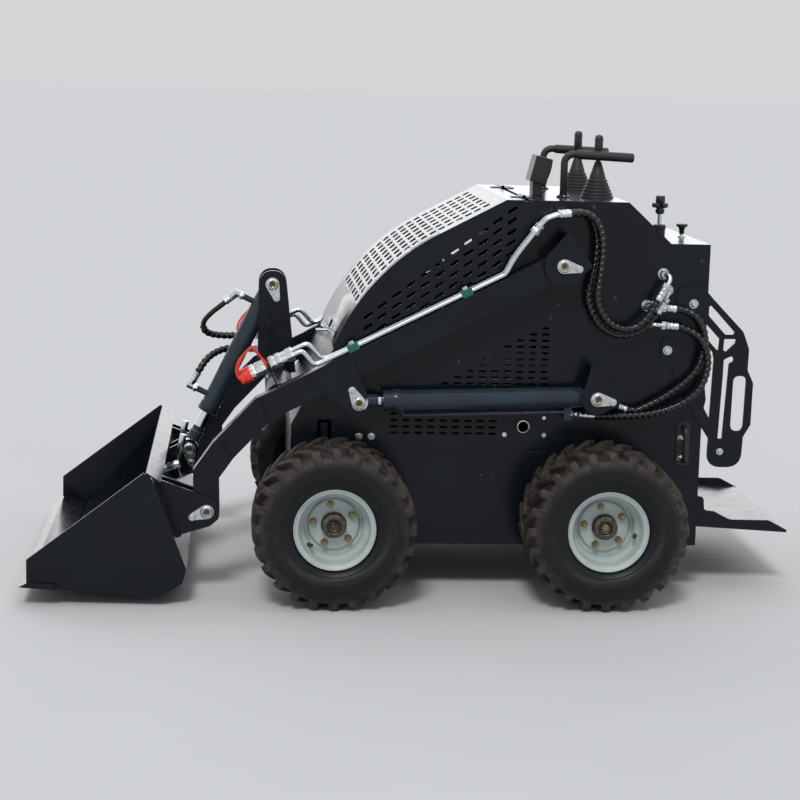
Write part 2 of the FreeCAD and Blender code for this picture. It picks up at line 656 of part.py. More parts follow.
def pivot_bracket(pin, top, corner, radius):
    """Outer plate of a frame pivot with the bent web that ties it to the side plate."""
    def skirt(towards, turn):
        angle = math.atan2(towards[1] - pin[1], towards[0] - pin[0])
        spread = math.acos(radius / math.dist(pin, towards))
        return (pin[0] + radius * math.cos(angle + turn * spread),
                pin[1] + radius * math.sin(angle + turn * spread))

    corners = [skirt(top, 1), (top[0], top[1], 6), (corner[0], corner[1], 10), skirt(corner, -1)]
    low = -BRACKET_INNER_Y - BRACKET_SHEET
    outer = plate(corners, low, BRACKET_SHEET).fuse(cross_bar(pin, radius, low, BRACKET_SHEET))
    middle = ((top[0] + corner[0]) / 2, (top[1] + corner[1]) / 2)
    across = (corner[0] - top[0], corner[1] - top[1])
    length = math.hypot(*across)
    inward = (across[1] / length * BRACKET_SHEET, -across[0] / length * BRACKET_SHEET)
    if math.dist((middle[0] + inward[0], middle[1] + inward[1]), pin) > math.dist(middle, pin):
        inward = (-inward[0], -inward[1])
    start, end = along(top, corner, 8), along(corner, top, 12)
    web = plate([start, end, (end[0] + inward[0], end[1] + inward[1]),
                 (start[0] + inward[0], start[1] + inward[1])],
                low + BRACKET_SHEET, BRACKET_INNER_Y - FRAME_HALF_WIDTH)
    bracket = outer.fuse(web)
    return bracket.cut(cross_bar(pin, PIN_RADIUS, low - 1, BRACKET_SHEET + 2)).removeSplitter()


def lift_arm_bar():
    """Left lift arm: box section with its mitred bends, eyes at both ends and gusset cheeks."""
    inner = ARM_MID_Y - ARM_WIDTH / 2
    line = [ARM_PIVOT, ARM_ELBOW, ARM_KNEE, ARM_ANKLE, COUPLER_PIVOT]
    bar = plate(band(line, ARM_DEPTH), -inner - ARM_WIDTH, ARM_WIDTH)
    bar = bar.fuse([cross_bar(ARM_PIVOT, ARM_BOSS_RADIUS, -ARM_OUTER_Y, ARM_WIDTH + 2 * ARM_CHEEK),
                    cross_bar(COUPLER_PIVOT, ARM_NOSE_RADIUS, -inner - ARM_WIDTH, ARM_WIDTH)])
    cheek = [(-325, 620), (-199, 686), (-150, 580, 20), (-160, 524, 22), (-192, 528, 16),
             (-266, 576)]
    for y in (-ARM_OUTER_Y, -inner):
        bar = bar.fuse(plate(cheek, y, ARM_CHEEK))
    for pin in (ARM_PIVOT, COUPLER_PIVOT):
        bar = bar.cut(cross_bar(pin, PIN_RADIUS + PIN_CLEARANCE, -ARM_OUTER_Y - 1,
                                ARM_WIDTH + 2 * ARM_CHEEK + 2))
    bar = bar.cut(cross_bar(LIFT_ROD_PIN, PIN_RADIUS, -ARM_OUTER_Y - 1,
                            ARM_WIDTH + 2 * ARM_CHEEK + 2))
    return bar.fuse(coupler_plate()).removeSplitter()


def coupler_plate():
    """Upright plate on the left arm that the two quick couplers pass through."""
    place, top = COUPLER_PLATE
    half = COUPLER_PLATE_SHEET / 2
    corners = [arm_point(d, rise, 0) for d, rise in
               ((place - half, ARM_DEPTH / 2 - 1), (place + half, ARM_DEPTH / 2 - 1),
                (place + half, top), (place - half, top))]
    upright = plate([(c.x, c.z) for c in corners], -ARM_MID_Y - ARM_WIDTH / 2, ARM_WIDTH)
    return upright.cut([round_between(arm_point(place - 20, COUPLER_RISE, y),
                                      arm_point(place + 20, COUPLER_RISE, y),
                                      COUPLER_RADIUS + SEAT_CLEARANCE) for y in pipe_lanes()])


def barrel(base, rod_end, sizes, mid_y, ports):
    """Cylinder barrel with its base eye, gland and ports, along the line between its pins."""
    length = math.dist(base, rod_end)
    radius, width = sizes["barrel"], sizes["width"]
    start = point(along(base, rod_end, EYE_REACH), mid_y)
    end = point(along(base, rod_end, length - sizes["gap"]), mid_y)
    forward = (end - start).normalize()
    body = round_between(start, end, radius)
    gland = round_between(end - forward * GLAND_LENGTH, end, radius + 2.5)
    eye = cross_bar(base, sizes["eye"], mid_y - width / 2, width)
    neck = round_between(point(base, mid_y), start + forward * 4, radius - 8)
    neck = neck.common(cross_bar(base, EYE_REACH + 4, mid_y - width / 2, width))
    bore = round_between(start + forward * WALL, end - forward * GLAND_LENGTH, radius - WALL)
    gland_bore = round_between(start + forward * WALL, end + forward, sizes["rod"] + PIN_CLEARANCE)
    body = body.fuse([gland, eye, neck] + ports).cut([bore, gland_bore])
    return body.cut(cross_bar(base, PIN_RADIUS + PIN_CLEARANCE, mid_y - width, 2 * width))


def tilt_port_elbow(place):
    """Middle of a tilt port's elbow, out in front of the barrel's axis."""
    (x0, z0), (x1, z1) = TILT_TOP_PIN, TILT_ROD_PIN
    length = math.dist(TILT_TOP_PIN, TILT_ROD_PIN)
    x, z = along(TILT_TOP_PIN, TILT_ROD_PIN, place)
    return V(x + (z1 - z0) / length * PORT_REACH, 0, z - (x1 - x0) / length * PORT_REACH)


def tilt_ports():
    """Weld-on ports of the tilt cylinder with their elbows."""
    ports = []
    for place, (x, z) in TILT_PORTS:
        elbow = tilt_port_elbow(place)
        wall = point(along(TILT_TOP_PIN, TILT_ROD_PIN, place), 0)
        out = (elbow - wall).normalize()
        start = wall + out * (TILT_SIZES["barrel"] - WALL / 2)
        ports.append(round_between(start, elbow, PORT_RADIUS).fuse(
            [Part.makeSphere(PORT_RADIUS, elbow),
             round_between(elbow, elbow + V(x, 0, z).normalize() * NIPPLE_LENGTH, PORT_RADIUS)]))
    return ports


def lift_line():
    """Pipe under the lift barrel with its block, the hose fitting behind it and the base port."""
    (x0, z0), (x1, z1) = LIFT_BASE_PIN, LIFT_ROD_PIN
    length = math.dist(LIFT_BASE_PIN, LIFT_ROD_PIN)
    ux, uz = (x1 - x0) / length, (z1 - z0) / length

    def below(distance, drop):
        return V(x0 + ux * distance - uz * drop, -ARM_MID_Y, z0 + uz * distance + ux * drop)

    radius = LIFT_SIZES["barrel"]
    pipe = tube([below(LINE_START, LINE_DROP), below(LINE_END, LINE_DROP),
                 below(LINE_END, radius - WALL / 2)], LINE_RADIUS, 8)
    corners = [below(LINE_START - 12, radius - 2), below(LINE_START + 10, radius - 2),
               below(LINE_START + 10, LINE_FITTING_DROP + 10),
               below(LINE_START - 12, LINE_FITTING_DROP + 10)]
    body = plate([(c.x, c.z) for c in corners], -ARM_MID_Y - 12, 24)
    fitting_end = line_fitting_end()
    fitting = round_between(V(corners[0].x - 6, -ARM_MID_Y, fitting_end.z), fitting_end, PORT_RADIUS)
    spot = V(x0, BASE_PORT_Y, z0)
    port = round_between(spot + V(BASE_PORT[0], 0, BASE_PORT[1]) * (PIN_RADIUS + 5), base_port_end(),
                         PORT_RADIUS)
    return [pipe, body, fitting, port]


def line_fitting_end():
    """Rear end of the fitting under the lift cylinder's base, where a hose meets it."""
    return V(LIFT_BASE_PIN[0], -ARM_MID_Y, LIFT_BASE_PIN[1] - LINE_FITTING_DROP - 1)


def base_port_end():
    """End of the port on the lift barrel's base eye, where the other hose meets it."""
    return V(LIFT_BASE_PIN[0], BASE_PORT_Y, LIFT_BASE_PIN[1]) \
        + V(BASE_PORT[0], 0, BASE_PORT[1]) * BASE_PORT_REACH


def rod(base, rod_end, sizes, mid_y):
    """Chromed rod with its eye, and its piston inside the barrel."""
    length = math.dist(base, rod_end)
    radius, eye, width = sizes["rod"], sizes["eye"], sizes["width"]

    def at(distance):
        return point(along(base, rod_end, distance), mid_y)

    body = round_between(at(sizes["piston"]), at(length - eye + 4), radius)
    piston = round_between(at(sizes["piston"]), at(sizes["piston"] + PISTON_LENGTH),
                           sizes["barrel"] - WALL - PISTON_CLEARANCE)
    neck = round_between(at(length - eye - 26), at(length - eye + 6), radius + 3)
    body = body.fuse([piston, cross_bar(rod_end, eye, mid_y - width / 2, width), neck])
    return body.cut(cross_bar(rod_end, PIN_RADIUS + 1, mid_y - width, 2 * width))


def tilt_tower():
    """Cross tube between the arms and the two upright plates for the tilt cylinder's top pin."""
    x, z = TILT_TOP_PIN
    reach = ARM_MID_Y - ARM_WIDTH / 2
    tube_bar = cross_bar(CROSS_TUBE, CROSS_TUBE_RADIUS, -reach, 2 * reach)
    corners = [(x - 40, CROSS_TUBE[1]), (x - 40, z + TOWER_RADIUS, 39),
               (x + 38, z + TOWER_RADIUS, 37), (x + 73, CROSS_TUBE[1] + 20)]
    low = -TOWER_OUTER_Y
    cheek = plate(corners, low, TOWER_SHEET)
    cheek = cheek.cut(cross_bar(TILT_TOP_PIN, PIN_RADIUS, low - 1, TOWER_SHEET + 2))
    rib = block((TOWER_RIB_X - TOWER_RIB[0] / 2, TOWER_RIB_X + TOWER_RIB[0] / 2),
                (-TOWER_OUTER_Y - TOWER_RIB[1], -TOWER_OUTER_Y), (CROSS_TUBE[1], TOWER_RIB_TOP_Z))
    fittings = [cross_bar(place, FITTING_RADIUS, TOWER_OUTER_Y - 1, 2 * HOSE_RADIUS + 3)
                for place in TOWER_FITTINGS]
    return tube_bar.fuse(both_sides(cheek) + both_sides(rib) + fittings).removeSplitter()


def bucket_profile(offset):
    """Side view of the bucket's bent shell, moved inwards by an offset."""
    line = [BUCKET_LIP, BUCKET_HEEL, BUCKET_BEVEL, BUCKET_BACK_FOOT, BUCKET_BACK_TOP]
    shifted = band(line, 2 * abs(offset)) if offset else line
    return shifted[:len(line)] if offset > 0 else shifted[:len(line) - 1:-1]


def bucket_shell():
    """Bent bucket sheet between two side cheeks, with the hook strip along its top."""
    outer = [BUCKET_LIP, BUCKET_HEEL, BUCKET_BEVEL, BUCKET_BACK_FOOT, BUCKET_BACK_TOP]
    inner = bucket_profile(BUCKET_SHEET)
    width = 2 * BUCKET_HALF_WIDTH
    front = along(BUCKET_LIP, BUCKET_HEEL, EDGE_DEPTH)
    front_inner = along(inner[0], inner[1], EDGE_DEPTH)
    shell = plate([front] + outer[1:] + inner[:0:-1] + [front_inner],
                  -BUCKET_HALF_WIDTH, width)
    crease = along(BUCKET_LIP, BUCKET_HEEL, CREASE_FOOT)
    cheek = plate([crease, BUCKET_HEEL, BUCKET_BEVEL, BUCKET_BACK_FOOT, BUCKET_BACK_TOP],
                  -BUCKET_HALF_WIDTH, BUCKET_SHEET).fuse(flared_cheek(crease)).cut(cutting_edge())
    strip = band([(-757, 372), (-717, 346)], 5)
    hook = plate(strip, -BUCKET_HALF_WIDTH + 4, width - 8)
    shell = shell.fuse([cheek, mirrored(cheek), hook])
    return shell.removeSplitter()


def flared_cheek(crease):
    """Front of the left cheek, bent outwards along the crease from the back plate's top."""
    top = BUCKET_BACK_TOP
    length = math.dist(top, crease)
    corners = [crease, top, BUCKET_CHEEK_TOP, BUCKET_CHEEK_FRONT,
               along(BUCKET_LIP, BUCKET_HEEL, CHEEK_NOSE)]
    points = []
    for x, z in corners:
        ahead = abs((x - top[0]) * (crease[1] - top[1]) - (z - top[1]) * (crease[0] - top[0])) / length
        points.append(V(x, -BUCKET_HALF_WIDTH - CHEEK_FLARE * ahead, z))
    return Part.Face(Part.makePolygon(points + points[:1])).extrude(V(0, BUCKET_SHEET, 0))


def cutting_edge():
    """Wear bar along the lip, bevelled to its front."""
    front = along(BUCKET_LIP, BUCKET_HEEL, EDGE_DEPTH)
    inner = bucket_profile(EDGE_SHEET)
    back = along(inner[0], inner[1], EDGE_DEPTH)
    nose = along(inner[0], inner[1], 26)
    half_width = BUCKET_HALF_WIDTH + EDGE_OVERHANG
    return plate([BUCKET_LIP, front, back, nose], -half_width, 2 * half_width)


def coupler_frame():
    """Quick coupler: back plate, outer and inner ears at each arm and lugs for the tilt rod."""
    top = along(BUCKET_BACK_TOP, BUCKET_BACK_FOOT, COUPLER_TOP_DROP)
    foot = along(BUCKET_BACK_TOP, BUCKET_BACK_FOOT, COUPLER_TOP_DROP + COUPLER_HEIGHT)
    shift = COUPLER_SHEET / 2 + SEAT_CLEARANCE
    out = ((top[1] - foot[1]) / COUPLER_HEIGHT * shift, (foot[0] - top[0]) / COUPLER_HEIGHT * shift)
    high, low = (top[0] + out[0], top[1] + out[1]), (foot[0] + out[0], foot[1] + out[1])
    frame = plate(band([high, low], COUPLER_SHEET), -COUPLER_HALF_WIDTH, 2 * COUPLER_HALF_WIDTH)
    ear = [along(high, low, 8), (-566, 277, 12), (-556, 226, 20), (-583, 202, 16),
           along(low, high, 4)]
    lug = [along(high, low, 6), (TILT_ROD_PIN[0] + 2, TILT_ROD_PIN[1] + 32, 20),
           (TILT_ROD_PIN[0] + 30, TILT_ROD_PIN[1] - 10, 16), (-640, 290, 10),
           along(high, low, 100)]
    # columns: outline, pin, eye radius, y of the low face
    cheeks = [(ear, COUPLER_PIVOT, 33, -EAR_OUTER_Y),
              (ear, COUPLER_PIVOT, 33, -EAR_INNER_Y - COUPLER_SHEET),
              (lug, TILT_ROD_PIN, 27, -LUG_Y - COUPLER_SHEET)]
    for corners, pin, radius, y in cheeks:
        cheek = plate(corners, y, COUPLER_SHEET).fuse(cross_bar(pin, radius, y, COUPLER_SHEET))
        cheek = cheek.cut(cross_bar(pin, PIN_RADIUS, y - 1, COUPLER_SHEET + 2))
        frame = frame.fuse(both_sides(cheek))
    return frame.removeSplitter()


def lock_lever():
    """Left lock lever of the quick coupler on its boss, with the link that draws the pin."""
    length = math.dist(BUCKET_BACK_TOP, BUCKET_BACK_FOOT)
    out = V((BUCKET_BACK_TOP[1] - BUCKET_BACK_FOOT[1]) / length, 0,
            (BUCKET_BACK_FOOT[0] - BUCKET_BACK_TOP[0]) / length)
    foot = point(along(BUCKET_BACK_TOP, BUCKET_BACK_FOOT, LOCK_LEVER_PLACE), -LOCK_LEVER_Y)
    boss = round_between(foot + out * (COUPLER_SHEET + SEAT_CLEARANCE), foot + out * 42, 12)
    hub, top = foot + out * 34, point(LOCK_LEVER_TOP, -LOCK_LEVER_Y)
    grip = (hub - top).normalize() * 46
    return boss.fuse([round_between(hub, top, 6), round_between(top + grip, top, 10),
                      round_between(hub, point(LOCK_LINK_END, -LOCK_LEVER_Y), 6)]).removeSplitter()


def ring_points(y, radius, angles):
    """Points around the wheel's axle at these angles."""
    return [V(radius * math.cos(a), y, radius * math.sin(a)) for a in angles]


def strip(first, second):
    """Flat triangles between two closed rings; the first has as many points or twice as many."""
    facets = []
    count = len(first)
    step = count // len(second)
    for i in range(count):
        a, b = first[i], first[(i + 1) % count]
        c, d = second[i // step], second[((i + 1) // step) % len(second)]
        facets.append((a, b, c))
        if (c - d).Length > 0.01:
            facets.append((b, d, c))
    return facets


def tyre():
    """Left tyre about its own axle: flat-faced carcass with angled lugs that fade over the shoulder.

    Each side's rings run from the middle of the tread to the bead. A lug stands between two
    neighbouring ring points, and its inner end leads its shoulder end round the tyre.
    """
    half = TYRE_WIDTH / 2
    seat = RIM_WIDTH / 2 - 4
    pitch = 2 * math.pi / LUG_COUNT
    facets, middles, beads = [], [], []
    for side in (-1, 1):
        shift = pitch / 2 if side > 0 else 0.0
        # columns: y, groove radius, lug radius, lug width, lead in degrees
        tread = [(LUG_START_Y, CARCASS_RADIUS, TYRE_RADIUS, LUG_WIDTH, LUG_LEAD),
                 (SHOULDER_Y, CARCASS_RADIUS - 3, TYRE_RADIUS - 2, LUG_WIDTH, 0),
                 (half, LUG_TOE_RADIUS, LUG_TOE_RADIUS, LUG_TOE_WIDTH, -1)]
        grooves, tops = [], []
        for y, groove, top, width, lead in tread:
            middle = [shift + pitch * i + math.radians(lead) for i in range(LUG_COUNT)]
            edges = [a + turn * width / 2 / TYRE_RADIUS for a in middle for turn in (-1, 1)]
            grooves.append(ring_points(side * y, groove, edges))
            tops.append(ring_points(side * y, top, edges))
        for near, far in ((0, 1), (1, 2)):
            for i in range(0, 2 * LUG_COUNT, 2):
                j, k = i + 1, (i + 2) % (2 * LUG_COUNT)
                # columns: two points of the nearer ring and the two of the farther one beside them
                quads = [(tops[near][i], tops[near][j], tops[far][i], tops[far][j]),
                         (grooves[near][j], grooves[near][k], grooves[far][j], grooves[far][k]),
                         (grooves[near][i], tops[near][i], grooves[far][i], tops[far][i]),
                         (tops[near][j], grooves[near][j], tops[far][j], grooves[far][j])]
                if near == 0:
                    quads.append((grooves[0][i], grooves[0][j], tops[0][i], tops[0][j]))
                for p, q, r, t in quads:
                    facets.append((p, q, r))
                    if (r - t).Length > 0.01:
                        facets.append((q, t, r))
        corners = [shift + pitch * i for i in range(LUG_COUNT)]
        # columns: y, radius of the flat-sided rings below the tread
        rings = [(half - 4, RIM_FLANGE_RADIUS + 27), (seat + 15, RIM_FLANGE_RADIUS + 4),
                 (seat + 2.6, RIM_FLANGE_RADIUS + 2),
                 (seat - 0.6, (RIM_SEAT_RADIUS + SEAT_CLEARANCE) / math.cos(pitch / 2))]
        chain = [grooves[2]] + [ring_points(side * y, r, corners) for y, r in rings]
        for outer, inner in zip(chain, chain[1:]):
            facets += strip(outer, inner)
        middles.append(grooves[0])
        beads.append(chain[-1])
    facets += strip(middles[0], middles[1][-1:] + middles[1][:-1])
    facets += strip(beads[0], beads[1])
    shell = Part.Shell([Part.Face(Part.makePolygon(list(f) + [f[0]])) for f in facets])
    body = Part.Solid(shell)
    if body.Volume < 0:
        body.reverse()
    return body


def rim():
    """Left rim about its own axle, open outwards, with its disc, hub and wheel nuts."""
    half = RIM_WIDTH / 2
    # columns: distance outwards from the mid-plane, radius
    outer = [(-half - 6, RIM_FLANGE_RADIUS), (-half, RIM_FLANGE_RADIUS - 1),
             (-half + 4, RIM_SEAT_RADIUS), (-half + 40, RIM_SEAT_RADIUS - 1),
             (-half + 52, RIM_SEAT_RADIUS - 15), (half - 52, RIM_SEAT_RADIUS - 15),
             (half - 40, RIM_SEAT_RADIUS - 1), (half - 4, RIM_SEAT_RADIUS),
             (half, RIM_FLANGE_RADIUS - 1), (half + 6, RIM_FLANGE_RADIUS)]
    inner = [(y, r - RIM_SHEET) for y, r in outer[::-1]]
    corners = [V(r, -y, 0) for y, r in outer + inner]
    shell = Part.Face(Part.makePolygon(corners + corners[:1])).revolve(V(0, 0, 0), AXIS_Y, 360)
    face_y = -DISC_OFFSET - DISC_SHEET
    disc = Part.makeCylinder(RIM_SEAT_RADIUS - 17, DISC_SHEET, V(0, face_y, 0), AXIS_Y)
    hub = Part.makeCylinder(HUB_RADIUS, HUB_LENGTH, V(0, 12 - DISC_OFFSET - HUB_LENGTH, 0), AXIS_Y)
    nuts = []
    for i in range(WHEEL_BOLTS):
        angle = math.radians(90 + 360 / WHEEL_BOLTS * i)
        nuts.append(Part.makeCylinder(WHEEL_NUT_RADIUS, 14,
                                      V(WHEEL_BOLT_CIRCLE * math.cos(angle), face_y - 14,
                                        WHEEL_BOLT_CIRCLE * math.sin(angle)), AXIS_Y))
    bore = Part.makeCylinder(SPINDLE_RADIUS + PIN_CLEARANCE, 60, V(0, -SPINDLE_REACH - 2, 0), AXIS_Y)
    return shell.fuse([disc, hub] + nuts).cut(bore).removeSplitter()


def wheel_motors():
    """Hub motors bolted through the side plates, with the spindles that carry the wheels."""
    motors = []
    for x in (FRONT_AXLE_X, REAR_AXLE_X):
        centre = (x, TYRE_RADIUS)
        case = cross_bar(centre, MOTOR_RADIUS, -MOTOR_OUTER_Y, MOTOR_LENGTH)
        flange = cross_bar(centre, MOTOR_FLANGE_RADIUS, -FRAME_HALF_WIDTH - 10, 10)
        spindle_end = TYRE_MID_Y + SPINDLE_REACH
        spindle = cross_bar(centre, SPINDLE_RADIUS, -spindle_end, spindle_end - MOTOR_OUTER_Y + 4)
        motors += both_sides(case.fuse([flange, spindle]).removeSplitter())
    return motors


def guard_plate():
    """Left rear guard plate, bolted to the side plate, with its slotted openings."""
    y = -FRAME_HALF_WIDTH - GUARD_SHEET
    corners = [(750, 868, 18), (830, 868, 14), (896, 768, 40), (938, 700, 30), (946, 640, 20),
               (962, 612, 12), (964, 470, 24), (938, 448, 6), (938, 350, 50), (836, 350, 50),
               (834, 460, 10), (814, 490, 10), (812, 655, 10), (716, 655, 20), (686, 690, 20),
               (700, 735, 16), (745, 800, 20)]
    guard = plate(corners, y, GUARD_SHEET)
    slots = [[(834, 790, 4), (870, 778, 4), (896, 726, 4), (850, 716, 4)],
             [(858, 684, 5), (882, 684, 5), (876, 460, 5), (860, 460, 5)],
             [(892, 638, 14), (936, 638, 14), (936, 480, 14), (892, 480, 14)]]
    return guard.cut([plate(slot, y - 1, GUARD_SHEET + 2) for slot in slots])


def platform():
    """Folding stand-on platform: tread plate between two side rails."""
    x, z = PLATFORM_PIVOT
    rail = [(x - 11, 180, 2), (PLATFORM_TIP_X, 164), (PLATFORM_TIP_X, 171), (1046, 200, 40),
            (930, 201, 40), (880, 226, 20), (852, 229, 8), (849, z + 14, 13), (x - 13, z + 14, 13)]
    left = plate(rail, -PLATFORM_HALF_WIDTH, PLATFORM_RAIL)
    left = left.cut(cross_bar(PLATFORM_PIVOT, PLATFORM_PIN_RADIUS + PIN_CLEARANCE,
                              -PLATFORM_HALF_WIDTH - 1, PLATFORM_RAIL + 2))
    tread = plate(band([(x + 5, 190), (1094, 171)], PLATFORM_SHEET),
                  -PLATFORM_HALF_WIDTH + PLATFORM_RAIL, 2 * (PLATFORM_HALF_WIDTH - PLATFORM_RAIL))
    return tread.fuse(both_sides(left)).removeSplitter()


def platform_lug():
    """Left lug on the back plate with the platform's pivot pin."""
    x, z = PLATFORM_PIVOT
    y = -PLATFORM_HALF_WIDTH + PLATFORM_RAIL + SIDE_CLEARANCE
    lug = plate([(FRAME_REAR_X - 1, z + 14), (x + 12, z + 14, 12), (x + 12, z - 14, 12),
                 (FRAME_REAR_X - 1, z - 14)], y, 10)
    pin = cross_bar(PLATFORM_PIVOT, PLATFORM_PIN_RADIUS, y - PLATFORM_RAIL - SIDE_CLEARANCE - 8,
                    PLATFORM_RAIL + SIDE_CLEARANCE + 12)
    return lug.fuse(pin)


def operator_handles():
    """Pair of round bar handles that rise from the deck and bend back to the operator."""
    handles = []
    for y in (-HANDLE_Y, HANDLE_Y):
        route = [V(HANDLE_FOOT_X, y, DECK_Z), V(HANDLE_FOOT_X, y, HANDLE_TOP_Z),
                 V(HANDLE_END_X, y, HANDLE_TOP_Z - 8)]
        handles.append(tube(route, HANDLE_RADIUS, 26))
    return handles + both_sides(grab_handle())


def grab_handle():
    """Left bow handle on its base plate, low on the side plate behind the rear wheel."""
    x0, x1, z0, z1 = GRAB_BASE
    face = -FRAME_HALF_WIDTH
    base = plate([(x0, z0, 16), (x1, z0, 16), (x1, z1, 16), (x0, z1, 16)], face - GRAB_BASE_SHEET,
                 GRAB_BASE_SHEET)
    route = [V(GRAB_X, face - 1, GRAB_Z[0]), V(GRAB_X, face - GRAB_REACH, GRAB_Z[0]),
             V(GRAB_X, face - GRAB_REACH, GRAB_Z[1]), V(GRAB_X, face - 1, GRAB_Z[1])]
    return base.fuse(tube(route, GRAB_RADIUS, 14)).removeSplitter()


def control_levers():
    """Pair of levers, each turned from its ribbed boot up to the round grip."""
    line = [(0, 0)]
    for i in range(BOOT_RIBS):
        radius, z = BOOT_RADIUS - BOOT_RIB_STEP * i, BOOT_RIB_HEIGHT * i
        line += [(radius, z), (radius - 1, z + 0.55 * BOOT_RIB_HEIGHT),
                 (radius - BOOT_RIB_DEPTH, z + 0.7 * BOOT_RIB_HEIGHT),
                 (radius - BOOT_RIB_DEPTH, z + BOOT_RIB_HEIGHT)]
    top = LEVER_TOP_Z - DECK_Z
    # columns: radius, height above the deck
    line += [(9.5, 104), (6, 104), (6, top - 44), (12, top - 44), (12, top - 8), (9, top), (0, top)]
    profile = Part.Face(Part.makePolygon([V(r, 0, z) for r, z in line + line[:1]]))
    lever = profile.revolve(V(0, 0, 0), AXIS_Z, 360)
    levers = []
    for y in (-LEVER_Y, LEVER_Y):
        levers.append(lever.translated(V(LEVER_X, y, DECK_Z)))
    return levers


def gauge():
    """Instrument box that leans back to the operator on its stand."""
    depth, width, height = GAUGE_HALF_SIZES
    box = block((-depth, depth), (-width, width), (-height, height))
    box.rotate(V(0, 0, 0), AXIS_Y, GAUGE_LEAN)
    box.translate(V(GAUGE_X, GAUGE_Y, DECK_Z + GAUGE_RISE))
    stand = block((GAUGE_X - 22, GAUGE_X + 8), (GAUGE_Y - 30, GAUGE_Y + 30), (DECK_Z, DECK_Z + 50))
    return box.fuse(stand).removeSplitter()


def filler_knobs():
    """Four-arm knob on a rod through the slope, and a small T knob on the rear shelf."""
    x, bar_z = KNOB_X, SHELF_Z + KNOB_BAR_RISE
    foot = V(x, 0, SHELF_Z)
    knob = round_between(foot, V(x, 0, SHELF_Z + 26), 16)
    knob = knob.fuse(round_between(foot, V(x, 0, bar_z + 16), 6))
    knob = knob.fuse([round_between(V(x - KNOB_ARM, 0, bar_z), V(x + KNOB_ARM, 0, bar_z), 8),
                      round_between(V(x, -KNOB_ARM, bar_z), V(x, KNOB_ARM, bar_z), 8),
                      round_between(V(x, 0, bar_z - 12), V(x, 0, bar_z + 32), 11)])
    x, y = TEE_PLACE
    tee_z = SHELF_Z + TEE_HEIGHT
    tee = round_between(V(x, y, SHELF_Z), V(x, y, tee_z), 5)
    tee = tee.fuse(round_between(V(x - 16, y, tee_z), V(x + 16, y, tee_z), 5))
    return [knob, tee]


def pipe_lanes():
    """Distances from the middle plane of the left arm's two pipes."""
    return (-ARM_MID_Y - PIPE_SPACING / 2, -ARM_MID_Y + PIPE_SPACING / 2)


def pipe_route(y):
    """Line of one pipe from its quick coupler back along the arm and up over the pivot."""
    return [arm_point(COUPLER_START, COUPLER_RISE, y), arm_point(696, COUPLER_RISE, y),
            arm_point(664, PIPE_RISE, y),
            arm_point(241, PIPE_RISE, y), V(300, y, 1082), V(392, y, 1095)]


def hard_pipes():
    """Left pair of zinc pipes on the arm."""
    return [tube(pipe_route(y), PIPE_RADIUS, PIPE_BEND) for y in pipe_lanes()]


def quick_couplers():
    """Left pair of hydraulic quick couplers at the front of the pipes."""
    couplers = []
    for y in pipe_lanes():
        start = pipe_route(y)[0]
        forward = (start - pipe_route(y)[1]).normalize()
        shoulder = start + forward * (COUPLER_LENGTH - NOSE_LENGTH)
        body = round_between(start, shoulder, COUPLER_RADIUS)
        nose = round_between(shoulder, start + forward * COUPLER_LENGTH, NOSE_RADIUS)
        couplers.append(body.fuse(nose))
    return couplers


def pipe_clamps():
    """Left pipe clamps, seated on the arm's top face."""
    clamps = []
    low = PIPE_RISE - CLAMP_HEIGHT / 2
    half_width = PIPE_SPACING / 2 + PIPE_RADIUS + 3
    for place in CLAMP_PLACES:
        corners = [arm_point(place - CLAMP_LENGTH / 2, ARM_DEPTH / 2, 0),
                   arm_point(place + CLAMP_LENGTH / 2, ARM_DEPTH / 2, 0),
                   arm_point(place + CLAMP_LENGTH / 2, low + CLAMP_HEIGHT, 0),
                   arm_point(place - CLAMP_LENGTH / 2, low + CLAMP_HEIGHT, 0)]
        clamp = plate([(c.x, c.z) for c in corners], -ARM_MID_Y - half_width, 2 * half_width)
        holes = [round_between(arm_point(place - CLAMP_LENGTH, PIPE_RISE, y),
                               arm_point(place + CLAMP_LENGTH, PIPE_RISE, y),
                               PIPE_RADIUS + PIN_CLEARANCE) for y in pipe_lanes()]
        clamps.append(clamp.cut(holes))
    return clamps


def bulkhead_fittings():
    """Left hose fittings that stand out of the side plate behind the arm's pivot."""
    reach = ARM_MID_Y + PIPE_SPACING / 2 + HOSE_RADIUS - FRAME_HALF_WIDTH
    return [cross_bar(place, FITTING_RADIUS, -FRAME_HALF_WIDTH - reach, reach) for place in FITTINGS]


def hose(points, radius=HOSE_RADIUS):
    """Hose through hand-chosen points, with the largest tangent arc that each corner allows."""
    edges = []
    before = points[0]
    for i in range(1, len(points) - 1):
        here = points[i]
        back, ahead = points[i - 1] - here, points[i + 1] - here
        half = back.getAngle(ahead) / 2
        reach = 0.45 * min(back.Length, ahead.Length)
        back.normalize()
        ahead.normalize()
        bend = reach * math.tan(half)
        centre = here + (back + ahead).normalize() * (bend / math.sin(half))
        crest = centre + (here - centre).normalize() * bend
        edges.append(Part.LineSegment(before, here + back * reach).toShape())
        edges.append(Part.Arc(here + back * reach, crest, here + ahead * reach).toShape())
        before = here + ahead * reach
    edges.append(Part.LineSegment(before, points[-1]).toShape())
    section = Part.Wire([Part.makeCircle(radius, points[0], points[1] - points[0])])
    return Part.Wire(edges).makePipeShell([section], True, False)


